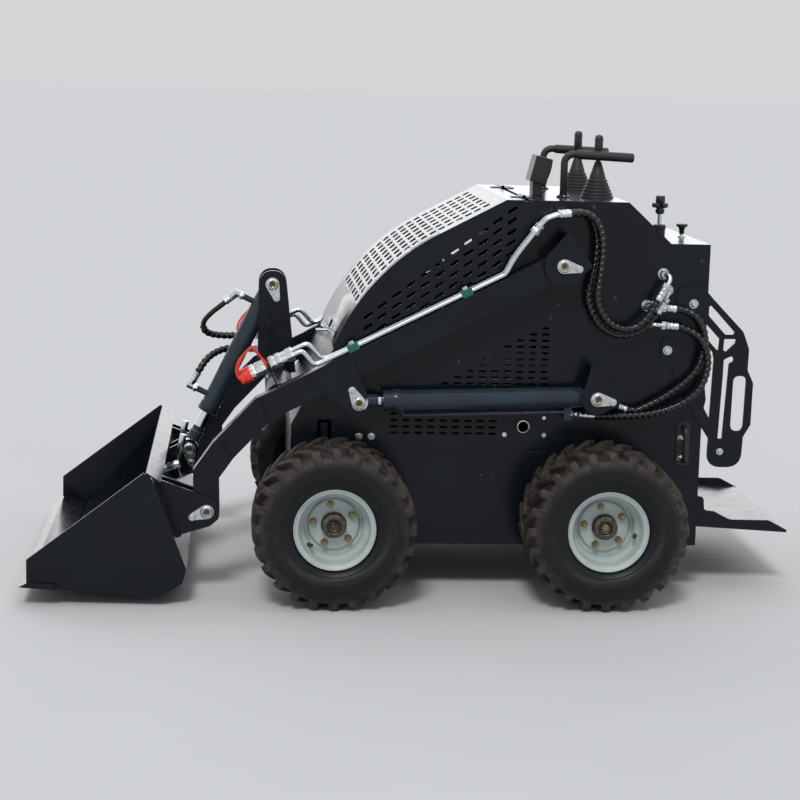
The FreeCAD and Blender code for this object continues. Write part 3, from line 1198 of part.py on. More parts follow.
def arm_hoses():
    """Left pair of hoses from the arm's pipes round the pivot to the side plate's fittings."""
    hoses = []
    # columns: lane, drop of the loop, fitting
    for y, drop, fitting in zip(pipe_lanes(), (0, 8), FITTINGS[2:4]):
        ahead, end = pipe_route(y)[-2:]
        start = end + (end - ahead).normalize() * 26
        loop = [point(xz, y) for xz in ARM_HOSE_FALL]
        loop += [V(x, y, z - drop) for x, z in ARM_HOSE_LOOP]
        seat = point(fitting, y)
        reach = (loop[-1] - seat).normalize() * (FITTING_RADIUS + SEAT_CLEARANCE)
        hoses.append(hose([end, start] + loop + [seat + reach]))
    return hoses


def cylinder_hoses():
    """Left pair of hoses from the side plate's rear fittings to the lift cylinder's base."""
    hoses = []
    ahead = V(BASE_PORT[0], 0, BASE_PORT[1])
    port, line = base_port_end() + ahead * SEAT_CLEARANCE, line_fitting_end() + AXIS_X * SEAT_CLEARANCE
    ends_at_cylinder = [[port + ahead * 46, port], [line + AXIS_X * 76, line]]
    for fitting, middle, ends in zip(FITTINGS[4:6], CYLINDER_HOSE_ROUTES, ends_at_cylinder):
        y = ends[-1].y
        seat = point(fitting, y)
        reach = (point(middle[0], y) - seat).normalize() * (FITTING_RADIUS + SEAT_CLEARANCE)
        hoses.append(hose([seat + reach] + [point(xz, y) for xz in middle] + ends))
    return hoses


def tilt_hoses():
    """Hoses that loop from the tilt cylinder's ports to the fittings on the tower's far plate."""
    hoses = []
    far = TOWER_OUTER_Y + HOSE_RADIUS + SEAT_CLEARANCE
    for (place, (x, z)), route, fitting in zip(TILT_PORTS, TILT_HOSE_ROUTES, TOWER_FITTINGS):
        start = tilt_port_elbow(place) + V(x, 0, z).normalize() * (NIPPLE_LENGTH + SEAT_CLEARANCE)
        middle = [V(*p) for p in route[:-2]] + [point(xz, far) for xz in route[-2:]]
        seat = point(fitting, far)
        end = seat + (middle[-1] - seat).normalize() * (FITTING_RADIUS + SEAT_CLEARANCE)
        hoses.append(hose([start] + middle + [end]))
    return hoses


def build():
    """Make every piece and file it under its node's name."""
    panel = side_panel()
    parts["side_panel_left"] = [panel]
    parts["side_panel_right"] = [mirrored(panel)]
    parts["underframe"] = [underframe()]
    parts["rear_panel"] = [rear_panel()]
    parts["console_deck"] = [console_deck()]
    parts["engine_block"] = [block(ENGINE_X, ENGINE_Y, (FRAME_FLOOR_Z + FLOOR_SHEET, ENGINE_TOP_Z))]
    arm_bracket = pivot_bracket(ARM_PIVOT, *ARM_BRACKET_CORNERS, BRACKET_RADIUS)
    base_bracket = pivot_bracket(LIFT_BASE_PIN, *BASE_BRACKET_CORNERS, BRACKET_RADIUS - 10)
    parts["frame_brackets"] = both_sides(arm_bracket) + both_sides(base_bracket)
    outer = BRACKET_INNER_Y + BRACKET_SHEET
    arm_pin = pinned(ARM_PIVOT, ARM_KEEPER_END, FRAME_HALF_WIDTH, outer)
    base_pin = pinned(LIFT_BASE_PIN, BASE_KEEPER_END, FRAME_HALF_WIDTH, outer)
    parts["frame_pins"] = both_sides(arm_pin) + both_sides(base_pin)
    parts["wheel_motors"] = wheel_motors()
    parts["guard_plates"] = both_sides(guard_plate())
    parts["operator_handles"] = operator_handles()
    parts["control_levers"] = control_levers()
    parts["gauge"] = [gauge()]
    parts["filler_knobs"] = filler_knobs()
    parts["platform"] = [platform()]
    parts["hood_grille"] = [hood_grille()]

    arm = lift_arm_bar()
    parts["arm_left"] = [arm]
    parts["arm_right"] = [mirrored(arm)]
    parts["tilt_tower"] = [tilt_tower()]
    tower_pin = cross_bar(TILT_TOP_PIN, PIN_RADIUS, -TOWER_OUTER_Y, 2 * TOWER_OUTER_Y)
    keepers = keeper(TILT_TOP_PIN, TOWER_KEEPER_END, -TOWER_OUTER_Y, -1)
    tower_pin = tower_pin.fuse([keepers, mirrored(keepers)]).removeSplitter()
    cheek_y = ARM_MID_Y + ARM_WIDTH / 2
    rod_pin = pinned(LIFT_ROD_PIN, ROD_KEEPER_END, cheek_y, ARM_OUTER_Y)
    parts["arm_pins"] = [tower_pin] + both_sides(rod_pin)
    # columns: node, maker of the left side's pieces
    for name, maker in (("hard_pipes", hard_pipes), ("quick_couplers", quick_couplers),
                        ("pipe_clamps", pipe_clamps), ("bulkhead_fittings", bulkhead_fittings),
                        ("arm_hoses", arm_hoses), ("cylinder_hoses", cylinder_hoses)):
        parts[name] = [solid for piece in maker() for solid in both_sides(piece)]
    parts["tilt_hoses"] = tilt_hoses()

    parts["coupler_frame"] = [coupler_frame()]
    ear_pin = pinned(COUPLER_PIVOT, EAR_KEEPER_END, EAR_INNER_Y, EAR_OUTER_Y)
    rod_stub = pinned(TILT_ROD_PIN, STUB_KEEPER_END, LUG_Y, LUG_Y + COUPLER_SHEET)
    parts["coupler_pins"] = both_sides(ear_pin) + both_sides(rod_stub) + both_sides(lock_lever())
    parts["bucket_shell"] = [bucket_shell()]
    parts["cutting_edge"] = [cutting_edge()]

    lift_barrel = barrel(LIFT_BASE_PIN, LIFT_ROD_PIN, LIFT_SIZES, -ARM_MID_Y, lift_line())
    lift_rod = rod(LIFT_BASE_PIN, LIFT_ROD_PIN, LIFT_SIZES, -ARM_MID_Y)
    for side, sign in SIDES:
        parts["lift_barrel_" + side] = [lift_barrel if sign < 0 else mirrored(lift_barrel)]
        parts["lift_rod_" + side] = [lift_rod if sign < 0 else mirrored(lift_rod)]
    parts["tilt_barrel"] = [barrel(TILT_TOP_PIN, TILT_ROD_PIN, TILT_SIZES, 0.0, tilt_ports())]
    parts["tilt_rod"] = [rod(TILT_TOP_PIN, TILT_ROD_PIN, TILT_SIZES, 0.0)]

    round_tyre, round_rim = tyre(), rim()
    for end, x in (("front", FRONT_AXLE_X), ("rear", REAR_AXLE_X)):
        for side, sign in SIDES:
            for name, shape in (("tyre", round_tyre), ("rim", round_rim)):
                copy = shape.copy() if sign < 0 else mirrored(shape)
                copy.translate(V(x, sign * TYRE_MID_Y, TYRE_RADIUS))
                parts[name + "_" + end + "_" + side] = [copy]


def export():
    """Write one STEP file for each node."""
    os.makedirs("parts", exist_ok=True)
    for name, solids in parts.items():
        shape = solids[0] if len(solids) == 1 else Part.makeCompound(solids)
        shape.exportStep("parts/" + name + ".step")


build()
export()
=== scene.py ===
"""Looks of a compact stand-on skid steer loader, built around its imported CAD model.

Metres, in the CAD model's own frame: -X is the bucket end, -Y the machine's left, +Z up, and
the floor is at z = 0. Sizes that the CAD source also uses are repeated here in millimetres.
"""

import json
import math

import bmesh
import bpy
from bpy.props import FloatProperty, FloatVectorProperty, IntProperty, PointerProperty
from mathutils import Matrix, Vector


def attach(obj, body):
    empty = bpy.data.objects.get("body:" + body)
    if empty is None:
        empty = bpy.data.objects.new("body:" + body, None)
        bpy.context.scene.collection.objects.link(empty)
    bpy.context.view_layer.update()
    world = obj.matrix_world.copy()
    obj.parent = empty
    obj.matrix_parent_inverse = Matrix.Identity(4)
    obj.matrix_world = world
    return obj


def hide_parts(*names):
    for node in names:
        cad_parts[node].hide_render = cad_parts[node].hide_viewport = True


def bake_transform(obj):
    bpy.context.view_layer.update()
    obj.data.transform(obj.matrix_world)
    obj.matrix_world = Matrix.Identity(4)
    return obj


bl_info = {
    "name": "Skid steer loader looks",
    "version": (1, 0, 0),
    "blender": (4, 5, 0),
    "location": "3D View > Sidebar > Loader",
    "description": "Finishes, tyres, rims, hoses, fittings and stage of a compact loader",
    "category": "Object",
}

MM = 0.001
SIDES = (("left", -1), ("right", 1))

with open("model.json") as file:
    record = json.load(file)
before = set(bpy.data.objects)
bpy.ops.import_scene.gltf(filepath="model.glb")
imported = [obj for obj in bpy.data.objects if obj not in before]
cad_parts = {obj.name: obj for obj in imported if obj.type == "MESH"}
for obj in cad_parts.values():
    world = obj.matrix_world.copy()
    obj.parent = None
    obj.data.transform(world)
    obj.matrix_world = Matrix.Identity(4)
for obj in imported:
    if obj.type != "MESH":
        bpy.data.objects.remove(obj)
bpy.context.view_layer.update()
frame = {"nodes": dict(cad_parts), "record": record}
nodes = frame["nodes"]
finishes = {}

# Camera, solved from the photograph: metres, degrees, and a lens for a 36 mm wide sensor
CAMERA_PLACE = (-0.5038, -5.7637, 1.4671)
CAMERA_YAW, CAMERA_PITCH, CAMERA_ROLL = 4.77, 9.57, 1.54
CAMERA_LENS = 87.47
BACKDROP = "#d4d5d6"

# Places and sizes shared with the CAD source, in millimetres
FRAME_HALF_WIDTH = 364
AXLES = (("front", -241), ("rear", 517))
AXLE_Z = 228
TYRE_MID_Y = 496
ARM_MID_Y = 408
ARM_PIVOT = (386, 949)
ARM_ELBOW = (-440, 533)
LIFT_BASE_PIN = (496, 577)
LIFT_ROD_PIN = (-174, 556)
TILT_TOP_PIN = (-413, 841)
TILT_ROD_PIN = (-654, 344)
BUCKET_PIN = (-593, 244)
ROD_RADIUS = 16
DECK_Z = 1124
SHELF_Z = 1010
HOSE_RADIUS = 10
TILT_HOSE_Y = 56.3
LEVER_X, LEVER_Y, LEVER_TOP_Z = 518, 176, 1298
HANDLE_X, HANDLE_Y = 416, 200
KNOB_X = 744
TEE_PLACE = (786, -120, SHELF_Z)
GAUGE_PLACE = (358, -105, 1198)
GAUGE_LEAN = 14
CLAMP_PLACES = (273, 624)

# Directions out of the left side and up
OUT = Vector((0, -1, 0))
UP = Vector((0, 0, 1))

# Finishes that many added pieces share
ZINC = "zinc_plated_steel"
BRASSY = "yellow_zinc"
IRON = "oiled_iron"
PAINT = "powder_coated_steel"
ENAMEL = "cylinder_enamel"
PLASTIC = "moulded_black_plastic"
NITRILE = "nitrile_rubber"
VINYL = "red_cap_vinyl"


def linear(hex_colour):
    """An sRGB hex colour as the linear RGBA that shaders take."""
    value = int(hex_colour.lstrip("#"), 16)
    channels = [(value >> shift & 255) / 255 for shift in (16, 8, 0)]
    return tuple(c / 12.92 if c <= 0.04045 else ((c + 0.055) / 1.055) ** 2.4 for c in channels) + (1.0,)


def paint(name, description, colour):
    """Colour property with a hex default."""
    return FloatVectorProperty(name=name, description=description, subtype="COLOR", size=4,
                               default=linear(colour))


class LoaderPaintSettings(bpy.types.PropertyGroup):
    """Colours of the painted, plated and rubber surfaces."""
    body: paint("Body paint", "Powder coat on frame, arms and bucket", "#0b1017")
    rim: paint("Rim paint", "Silver-grey enamel of the wheels", "#bcc6c4")
    rubber: paint("Tyre rubber", "Carbon-black rubber of the tyres", "#0b0d12")
    dust: paint("Road dust", "Dry dust in the tyres' tread", "#5a4f47")
    cap: paint("Dust caps", "Soft plastic caps of the quick couplers", "#d8321f")
    clamp: paint("Pipe clamps", "Moulded clamp blocks on the arms", "#0f5a43")


class LoaderSizeSettings(bpy.types.PropertyGroup):
    """Sizes of the added details."""
    edge_round: FloatProperty(name="Edge round", description="Rounding of painted steel edges",
                              unit="LENGTH", default=1.2 * MM, min=0.0, max=4 * MM)
    wrap_pitch: FloatProperty(name="Spiral guard pitch", description="Step of the guards on the hoses",
                              unit="LENGTH", default=17 * MM, min=8 * MM, max=60 * MM)
    wrap_height: FloatProperty(name="Spiral guard height", description="Thickness of the spiral guard",
                               unit="LENGTH", default=1.9 * MM, min=0.5 * MM, max=4 * MM)
    rim_segments: IntProperty(name="Rim segments", description="Segments round a rim",
                              default=96, min=24, max=192)


def add(tree, kind, inputs=None, **settings):
    """A node with its settings and its inputs, each a value or another node's output."""
    node = tree.nodes.new(kind)
    for name, value in settings.items():
        setattr(node, name, value)
    for name, value in (inputs or {}).items():
        if isinstance(value, bpy.types.NodeSocket):
            tree.links.new(value, node.inputs[name])
        else:
            node.inputs[name].default_value = value
    return node


def new_material(name, **values):
    """A material with its shader set to constant values, and its node tree and object coordinates."""
    material = bpy.data.materials.new(name)
    material.use_nodes = True
    tree = material.node_tree
    tree.nodes.clear()
    shader = add(tree, "ShaderNodeBsdfPrincipled", {key.replace("_", " "): value
                                                    for key, value in values.items()})
    add(tree, "ShaderNodeOutputMaterial", {"Surface": shader.outputs["BSDF"]})
    spot = add(tree, "ShaderNodeTexCoord").outputs["Object"]
    finishes[name] = material
    return tree, shader, spot


def ramp(tree, value, start, end):
    """0 to 1 as the value goes from start to end."""
    return add(tree, "ShaderNodeMapRange", {"Value": value, "From Min": start,
                                            "From Max": end}).outputs["Result"]


def maths(tree, operation, *inputs):
    """Result of a maths node."""
    return add(tree, "ShaderNodeMath", dict(enumerate(inputs)), operation=operation).outputs["Value"]


def speckle(tree, spot, feature, low, high, detail=2.0):
    """Noise whose features have this size in metres, stretched from low..high to 0..1."""
    cloud = add(tree, "ShaderNodeTexNoise", {"Vector": spot, "Scale": 1 / feature, "Detail": detail})
    return ramp(tree, cloud.outputs["Fac"], low, high)


def rough_between(tree, shader, mask, low, high):
    """Roughness that follows a mask."""
    level = add(tree, "ShaderNodeMapRange", {"Value": mask, "To Min": low, "To Max": high})
    tree.links.new(level.outputs["Result"], shader.inputs["Roughness"])


def tint(tree, shader, mask, first, second):
    """Base colour that goes from the first to the second colour with a mask."""
    mix = add(tree, "ShaderNodeMix", {"Factor": mask}, data_type="RGBA")
    mix.inputs["A"].default_value = first
    mix.inputs["B"].default_value = second
    tree.links.new(mix.outputs["Result"], shader.inputs["Base Color"])


def emboss(tree, shader, height, depth, coat=False):
    """Bump of this depth in metres on the shader, and on its coat where it has one."""
    bump = add(tree, "ShaderNodeBump", {"Height": height, "Distance": depth, "Strength": 1.0})
    tree.links.new(bump.outputs["Normal"], shader.inputs["Normal"])
    if coat:
        tree.links.new(bump.outputs["Normal"], shader.inputs["Coat Normal"])


def lighter(colour, times):
    """The colour this many times as bright."""
    return [c * times for c in colour[:3]] + [1.0]


def powder_coat(name, colour, gloss):
    """Semi-gloss powder coat on sheet steel: dark, with a soft sheen and faint orange peel."""
    tree, shader, spot = new_material(name, IOR=1.5, Specular_IOR_Level=0.1, Coat_Weight=1.0,
                                      Coat_IOR=1.25, Coat_Roughness=gloss)
    cloud = speckle(tree, spot, 0.22, 0.35, 0.7)
    tint(tree, shader, cloud, colour, lighter(colour, 1.35))
    smear = speckle(tree, spot, 0.035, 0.35, 0.75, 4.0)
    rough_between(tree, shader, smear, gloss + 0.10, gloss + 0.24)
    peel = speckle(tree, spot, 2.6 * MM, 0.3, 0.7)
    emboss(tree, shader, peel, 0.045 * MM, coat=True)


def grained(name, colours, roughness, clouds, grain, depth, **values):
    """Two colours and two roughnesses in clouds of a size, upper level and detail, with fine grain."""
    tree, shader, spot = new_material(name, **values)
    size, upper, detail = clouds
    cloud = speckle(tree, spot, size, 0.35, upper, detail)
    tint(tree, shader, cloud, *colours)
    rough_between(tree, shader, cloud, *roughness)
    emboss(tree, shader, speckle(tree, spot, grain, 0.3, 0.7), depth)


def make_paints(colours):
    """Painted finishes, and the engine's dark casting, seen only through the vents."""
    # Powder coat over shot-blasted steel, the same on frame, arms and bucket
    powder_coat(PAINT, tuple(colours.body), 0.16)
    # Cylinder enamel is sprayed, a shade bluer and glossier, so its top carries a soft highlight
    powder_coat(ENAMEL, linear("#28323c"), 0.12)
    # Wheels have a silver-grey enamel with a satin sheen
    grained("silver_enamel", (tuple(colours.rim), linear("#a7b2b0")), (0.30, 0.42),
            (0.05, 0.75, 4.0), 2 * MM, 0.03 * MM, IOR=1.45, Coat_Weight=0.4, Coat_Roughness=0.2)
    grained("dark_casting", (linear("#24262a"), linear("#3b3d40")), (0.6, 0.8),
            (0.03, 0.7, 4.0), 5 * MM, 0.3 * MM, IOR=1.5)


def make_metals():
    """Plated, chromed, cast and bare metals."""
    # columns: name, colour, second colour, roughness low and high, grain in metres, its depth
    table = (
        # Bright zinc plating: bluish, cloudy from the bath
        (ZINC, "#d4d8d8", "#bcc3c6", 0.16, 0.30, 9 * MM, 0.02 * MM),
        # Yellow passivated zinc: brassy with a faint rainbow, drawn as two tones
        (BRASSY, "#a39470", "#776a48", 0.22, 0.40, 5 * MM, 0.02 * MM),
        # Ground and hard-chromed rod: mirror bright
        ("hard_chrome", "#d9dcdf", "#cfd3d8", 0.05, 0.10, 30 * MM, 0.005 * MM),
        # Turned hub iron, oiled and dark
        (IRON, "#6d6660", "#3c3733", 0.34, 0.58, 12 * MM, 0.10 * MM))
    for name, first, second, low, high, grain, depth in table:
        grained(name, (linear(first), linear(second)), (low, high), (grain, 0.7, 5.0), grain / 6,
                depth, Metallic=1.0)


def make_plastics(colours):
    """Plastics and the hoses' rubber."""
    # columns: name, colour, roughness low and high, grain in metres, its depth
    table = (
        # Injection-moulded polypropylene of knobs and instrument box: fine spark-eroded grain
        (PLASTIC, linear("#17191b"), 0.34, 0.46, 1.4 * MM, 0.05 * MM),
        # Clamp blocks of green polypropylene
        ("green_clamp_plastic", colours.clamp, 0.36, 0.50, 1.6 * MM, 0.05 * MM),
        # Dust caps of soft vinyl: smooth, with a waxy shine
        (VINYL, colours.cap, 0.24, 0.36, 4 * MM, 0.04 * MM),
        # Printed dial card: nearly white, smooth
        ("dial_white", linear("#e6e7e4"), 0.30, 0.36, 8 * MM, 0.01 * MM),
        # Oil-proof nitrile of grips and bellows: matt with a slight bloom
        (NITRILE, linear("#141516"), 0.42, 0.60, 3 * MM, 0.06 * MM),
        # Hose cover and polyethylene spiral guard: smooth black with small sharp highlights
        ("hose_guard_plastic", linear("#08080a"), 0.12, 0.22, 6 * MM, 0.02 * MM))
    for name, colour, low, high, grain, depth in table:
        grained(name, (tuple(colour), lighter(colour, 1.4)), (low, high), (0.02, 0.75, 3.0), grain,
                depth, IOR=1.5)


def make_rubber(colours):
    """Moulded tyre rubber: satin black sidewall with fine radial ribs, and dusty worn tread."""
    tree, shader, spot = new_material("tyre_rubber", IOR=1.45, Specular_IOR_Level=0.35)
    across = add(tree, "ShaderNodeSeparateXYZ", {"Vector": spot}).outputs
    flat = add(tree, "ShaderNodeVectorMath", {0: spot, 1: (1.0, 0.0, 1.0)}, operation="MULTIPLY")
    radius = add(tree, "ShaderNodeVectorMath", {0: flat.outputs["Vector"]},
                 operation="LENGTH").outputs["Value"]
    turn = maths(tree, "ARCTAN2", across["X"], across["Z"])
    ribs = maths(tree, "SINE", maths(tree, "MULTIPLY", turn, 200.0))
    # ribs stand on the sidewall, between these radii
    band = maths(tree, "MULTIPLY", ramp(tree, radius, 0.134, 0.142), ramp(tree, radius, 0.186, 0.170))
    grit = speckle(tree, spot, 4 * MM, 0.3, 0.7, 5.0)
    emboss(tree, shader, maths(tree, "ADD", maths(tree, "MULTIPLY", ribs, band), grit), 0.35 * MM)
    # dust lies on the tread and thins out down the shoulder
    patch = speckle(tree, spot, 0.028, 0.30, 0.62, 6.0)
    mask = maths(tree, "MULTIPLY", ramp(tree, radius, 0.176, 0.212), patch)
    mask = maths(tree, "MULTIPLY", mask, 0.55)
    tint(tree, shader, mask, tuple(colours.rubber), tuple(colours.dust))
    rough_between(tree, shader, mask, 0.40, 0.95)


# Finish of each CAD material slot
SLOT_FINISH = {
    "body_paint": PAINT, "bucket_paint": PAINT, "edge_steel": PAINT, "cylinder_paint": ENAMEL,
    "rod_chrome": "hard_chrome", "pin_steel": ZINC, "pipe_zinc": ZINC, "motor_iron": IRON,
    "clamp_plastic": "green_clamp_plastic", "hose_rubber": "hose_guard_plastic",
    "engine": "dark_casting", "handle_rubber": NITRILE, "gauge_plastic": PLASTIC,
    "knob_plastic": PLASTIC, "tyre_rubber": "tyre_rubber", "rim_paint": "silver_enamel"}


class LOADER_OT_finishes(bpy.types.Operator):
    """Make the finishes and give each CAD node its own, with slightly rounded edges."""
    bl_idname = "loader.finishes"
    bl_label = "Finishes"

    def execute(self, context):
        scene = context.scene
        make_paints(scene.loader_paint)
        make_metals()
        make_plastics(scene.loader_paint)
        make_rubber(scene.loader_paint)
        slots = {row["node"]: row["material_slot"] for row in frame["record"]["subparts"]}
        for name, node in nodes.items():
            for slot in node.material_slots:
                slot.material = finishes[SLOT_FINISH[slots[name]]]
            round_edges(node, scene.loader_size.edge_round)
        return {"FINISHED"}


def round_edges(node, width):
    """Rolls a node's sharp edges off by a hair, as paint and deburring leave them."""
    node.modifiers.new("join seams", "WELD").merge_threshold = 0.01 * MM
    bevel = node.modifiers.new("soft edges", "BEVEL")
    bevel.width = width
    bevel.segments = 2
    bevel.limit_method = "ANGLE"
    bevel.angle_limit = math.radians(40)
    bevel.harden_normals = True


class Form:
    """Points and faces of one piece, gathered in millimetres, with a finish for each face."""

    def __init__(self):
        self.points, self.faces, self.looks, self.names = [], [], [], []

    def add(self, points, faces, finish):
        """Append points and faces that all have the same finish."""
        base = len(self.points)
        self.points += [Vector(p) for p in points]
        self.faces += [[base + i for i in face] for face in faces]
        if finish not in self.names:
            self.names.append(finish)
        self.looks += [self.names.index(finish)] * len(faces)

    def mirror(self):
        """Append the same pieces on the other side of the machine."""
        base = len(self.points)
        self.points += [Vector((p.x, -p.y, p.z)) for p in self.points]
        self.faces += [[base + i for i in reversed(face)] for face in self.faces]
        self.looks += self.looks

    def made(self, name, body, replaced=(), origin=(0, 0, 0), sharp=35):
        """The finished object, riding on a body and standing for the nodes that it replaces."""
        mesh = bpy.data.meshes.new(name)
        mesh.from_pydata([(p - Vector(origin)) * MM for p in self.points], [], self.faces)
        for finish in self.names:
            mesh.materials.append(finishes[finish])
        mesh.polygons.foreach_set("material_index", self.looks)
        skin = bmesh.new()
        skin.from_mesh(mesh)
        bmesh.ops.recalc_face_normals(skin, faces=skin.faces)
        skin.to_mesh(mesh)
        skin.free()
        mesh.shade_smooth()
        mesh.set_sharp_from_angle(angle=math.radians(sharp))
        piece = bpy.data.objects.new(name, mesh)
        piece.location = Vector(origin) * MM
        bpy.context.scene.collection.objects.link(piece)
        if replaced:
            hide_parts(*replaced)
        if body:
            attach(piece, body)
        return piece


def dressed(fill, name, body, replaced=(), mirrored=False):
    """Object of the pieces that a function fills in, on both sides of the machine if mirrored."""
    form = Form()
    fill(form)
    if mirrored:
        form.mirror()
    return form.made(name, body, replaced)


def skin_over(rings, finish, form, loop=False, caps=True):
    """Surface over equal closed rings of points, capped, or closed on itself as a loop."""
    n, count = len(rings[0]), len(rings)
    faces = []
    for k in range(count if loop else count - 1):
        a, b = k * n, (k + 1) % count * n
        faces += [(a + i, a + (i + 1) % n, b + (i + 1) % n, b + i) for i in range(n)]
    if caps and not loop:
        faces += [list(range(n)), list(range((count - 1) * n, count * n))]
    form.add([p for ring in rings for p in ring], faces, finish)


def square_to(axis):
    """Two directions square to the axis and to each other."""
    helper = Vector((0, 0, 1)) if abs(axis.z) < 0.9 else Vector((1, 0, 0))
    across = axis.cross(helper).normalized()
    return across, axis.cross(across)


def turned(form, place, axis, profile, finish=ZINC, sides=32, loop=False):
    """Piece turned about an axis from (distance along it, radius) pairs; 6 sides make a hexagon."""
    place, axis = Vector(place), Vector(axis).normalized()
    across, above = square_to(axis)
    spokes = [across * math.cos(a) + above * math.sin(a)
              for a in (2 * math.pi * i / sides for i in range(sides))]
    skin_over([[place + axis * d + spoke * r for spoke in spokes] for d, r in profile], finish, form,
              loop)


def hex_nut(form, place, axis, radius, height, finish=ZINC, washer=0.0, stud=0.0):
    """Chamfered hexagon on a surface, with a washer under it and a stud end above where it has them."""
    place, axis = Vector(place), Vector(axis).normalized()
    if washer:
        turned(form, place, axis, ((-0.5, washer), (1.2, washer), (1.6, washer - 0.5)), finish, 28)
        place = place + axis * 1.5
    turned(form, place, axis, ((-0.5, radius), (height * 0.82, radius), (height, radius * 0.88)),
           finish, 6)
    if stud:
        turned(form, place, axis, ((0, radius * 0.5), (height + stud - 1, radius * 0.5),
                                   (height + stud, radius * 0.42)), finish, 16)


def read_curve(curve):
    """Mesh that the curve makes; the curve is gone afterwards."""
    holder = bpy.data.objects.new(curve.name, curve)
    bpy.context.scene.collection.objects.link(holder)
    mesh = bpy.data.meshes.new_from_object(holder)
    bpy.data.objects.remove(holder)
    bpy.data.curves.remove(curve)
    return mesh


def smooth(points):
    """Points in millimetres read from the order 3 NURBS spline of a route."""
    curve = bpy.data.curves.new("route", "CURVE")
    curve.dimensions = "3D"
    spline = curve.splines.new("NURBS")
    spline.points.add(len(points) - 1)
    for spot, p in zip(spline.points, points):
        spot.co = (p[0] * MM, p[1] * MM, p[2] * MM, 1.0)
    spline.order_u = 3
    spline.use_endpoint_u = True
    spline.resolution_u = 24
    line = read_curve(curve)
    found = [v.co / MM for v in line.vertices]
    bpy.data.meshes.remove(line)
    return found


def evenly(line, step):
    """The same line with its points at equal steps."""
    reach = [0.0]
    for a, b in zip(line, line[1:]):
        reach.append(reach[-1] + (b - a).length)
    count = max(2, round(reach[-1] / step))
    found, k = [], 0
    for i in range(count + 1):
        wanted = reach[-1] * i / count
        while k < len(reach) - 2 and reach[k + 1] < wanted:
            k += 1
        share = (wanted - reach[k]) / max(reach[k + 1] - reach[k], 1e-9)
        found.append(line[k].lerp(line[k + 1], share))
    return found


def swept(form, line, radius, finish, sides=14):
    """Round bar along a line; the radius is a number, or a function of distance and angle."""
    along = (line[1] - line[0]).normalized()
    across, above = square_to(along)
    rings, distance = [], 0.0
    for i, here in enumerate(line):
        ahead = (line[min(i + 1, len(line) - 1)] - line[max(i - 1, 0)]).normalized()
        turn = along.rotation_difference(ahead)
        across, above, along = turn @ across, turn @ above, ahead
        if i:
            distance += (here - line[i - 1]).length
        ring = []
        for j in range(sides):
            a = 2 * math.pi * j / sides
            r = radius(distance, a) if callable(radius) else radius
            ring.append(here + (across * math.cos(a) + above * math.sin(a)) * r)
        rings.append(ring)
    skin_over(rings, finish, form)


def rounded(corners, steps=6):
    """Outline of (x, z) points from corners (x, z, radius) joined by arcs."""
    found = []
    for i, (x, z, radius) in enumerate(corners):
        here = Vector((x, z))
        before = Vector(corners[i - 1][:2]) - here
        after = Vector(corners[(i + 1) % len(corners)][:2]) - here
        half = before.angle(after) / 2
        reach = min(radius / math.tan(half), before.length * 0.49, after.length * 0.49)
        start, end = here + before.normalized() * reach, here + after.normalized() * reach
        for k in range(steps + 1):
            t = k / steps
            found.append(start * (1 - t) ** 2 + here * 2 * t * (1 - t) + end * t ** 2)
    return found


def sheet(form, outlines, y, thickness, finish):
    """Flat sheet in the side view from its outline and its openings, from the plane y outwards."""
    curve = bpy.data.curves.new("outline", "CURVE")
    curve.dimensions = "2D"
    curve.fill_mode = "BOTH"
    curve.extrude = thickness / 2
    for points in outlines:
        spline = curve.splines.new("POLY")
        spline.points.add(len(points) - 1)
        for spot, p in zip(spline.points, points):
            spot.co = (p[0], p[1], 0.0, 1.0)
        spline.use_cyclic_u = True
    mesh = read_curve(curve)
    middle = y - thickness / 2
    skin = bmesh.new()
    skin.from_mesh(mesh)
    bmesh.ops.remove_doubles(skin, verts=skin.verts, dist=0.01)
    skin.verts.index_update()
    form.add([(v.co.x, middle + v.co.z, v.co.y) for v in skin.verts],
             [[v.index for v in face.verts] for face in skin.faces], finish)
    skin.free()
    bpy.data.meshes.remove(mesh)


def side_view(route, y):
    """Points (x, z) of the side view in the plane y."""
    return [Vector((x, y, z)) for x, z in route]


def arm_point(distance, rise, y):
    """Point beside the arm's long straight run: distance from the pivot, rise from its centreline."""
    length = math.dist(ARM_PIVOT, ARM_ELBOW)
    ux, uz = (ARM_ELBOW[0] - ARM_PIVOT[0]) / length, (ARM_ELBOW[1] - ARM_PIVOT[1]) / length
    return Vector((ARM_PIVOT[0] + ux * distance + uz * rise, y,
                   ARM_PIVOT[1] + uz * distance - ux * rise))


# Lug: offsets from its middle round the crown, and the share of its height there
LUG_FLANK = ((8, 1), (9, 0.93), (10, 0.55), (11, 0.12), (12, 0.02), (14, 0), (20, 0))
LUG_ROUND = ((-29.8, 0),) + tuple((-d, h) for d, h in reversed(LUG_FLANK)) + ((0, 1),) + LUG_FLANK
LUG_COUNT = 24
TYRE_RADIUS = 228
SHOULDER_Y = 97
CENTRE_GROOVE_Y = 5
# Lead of the lugs over the shoulder's, in degrees for each millimetre inside it and outside it
INNER_SWEEP, OUTER_SWEEP = 14 / 92, 1 / 21
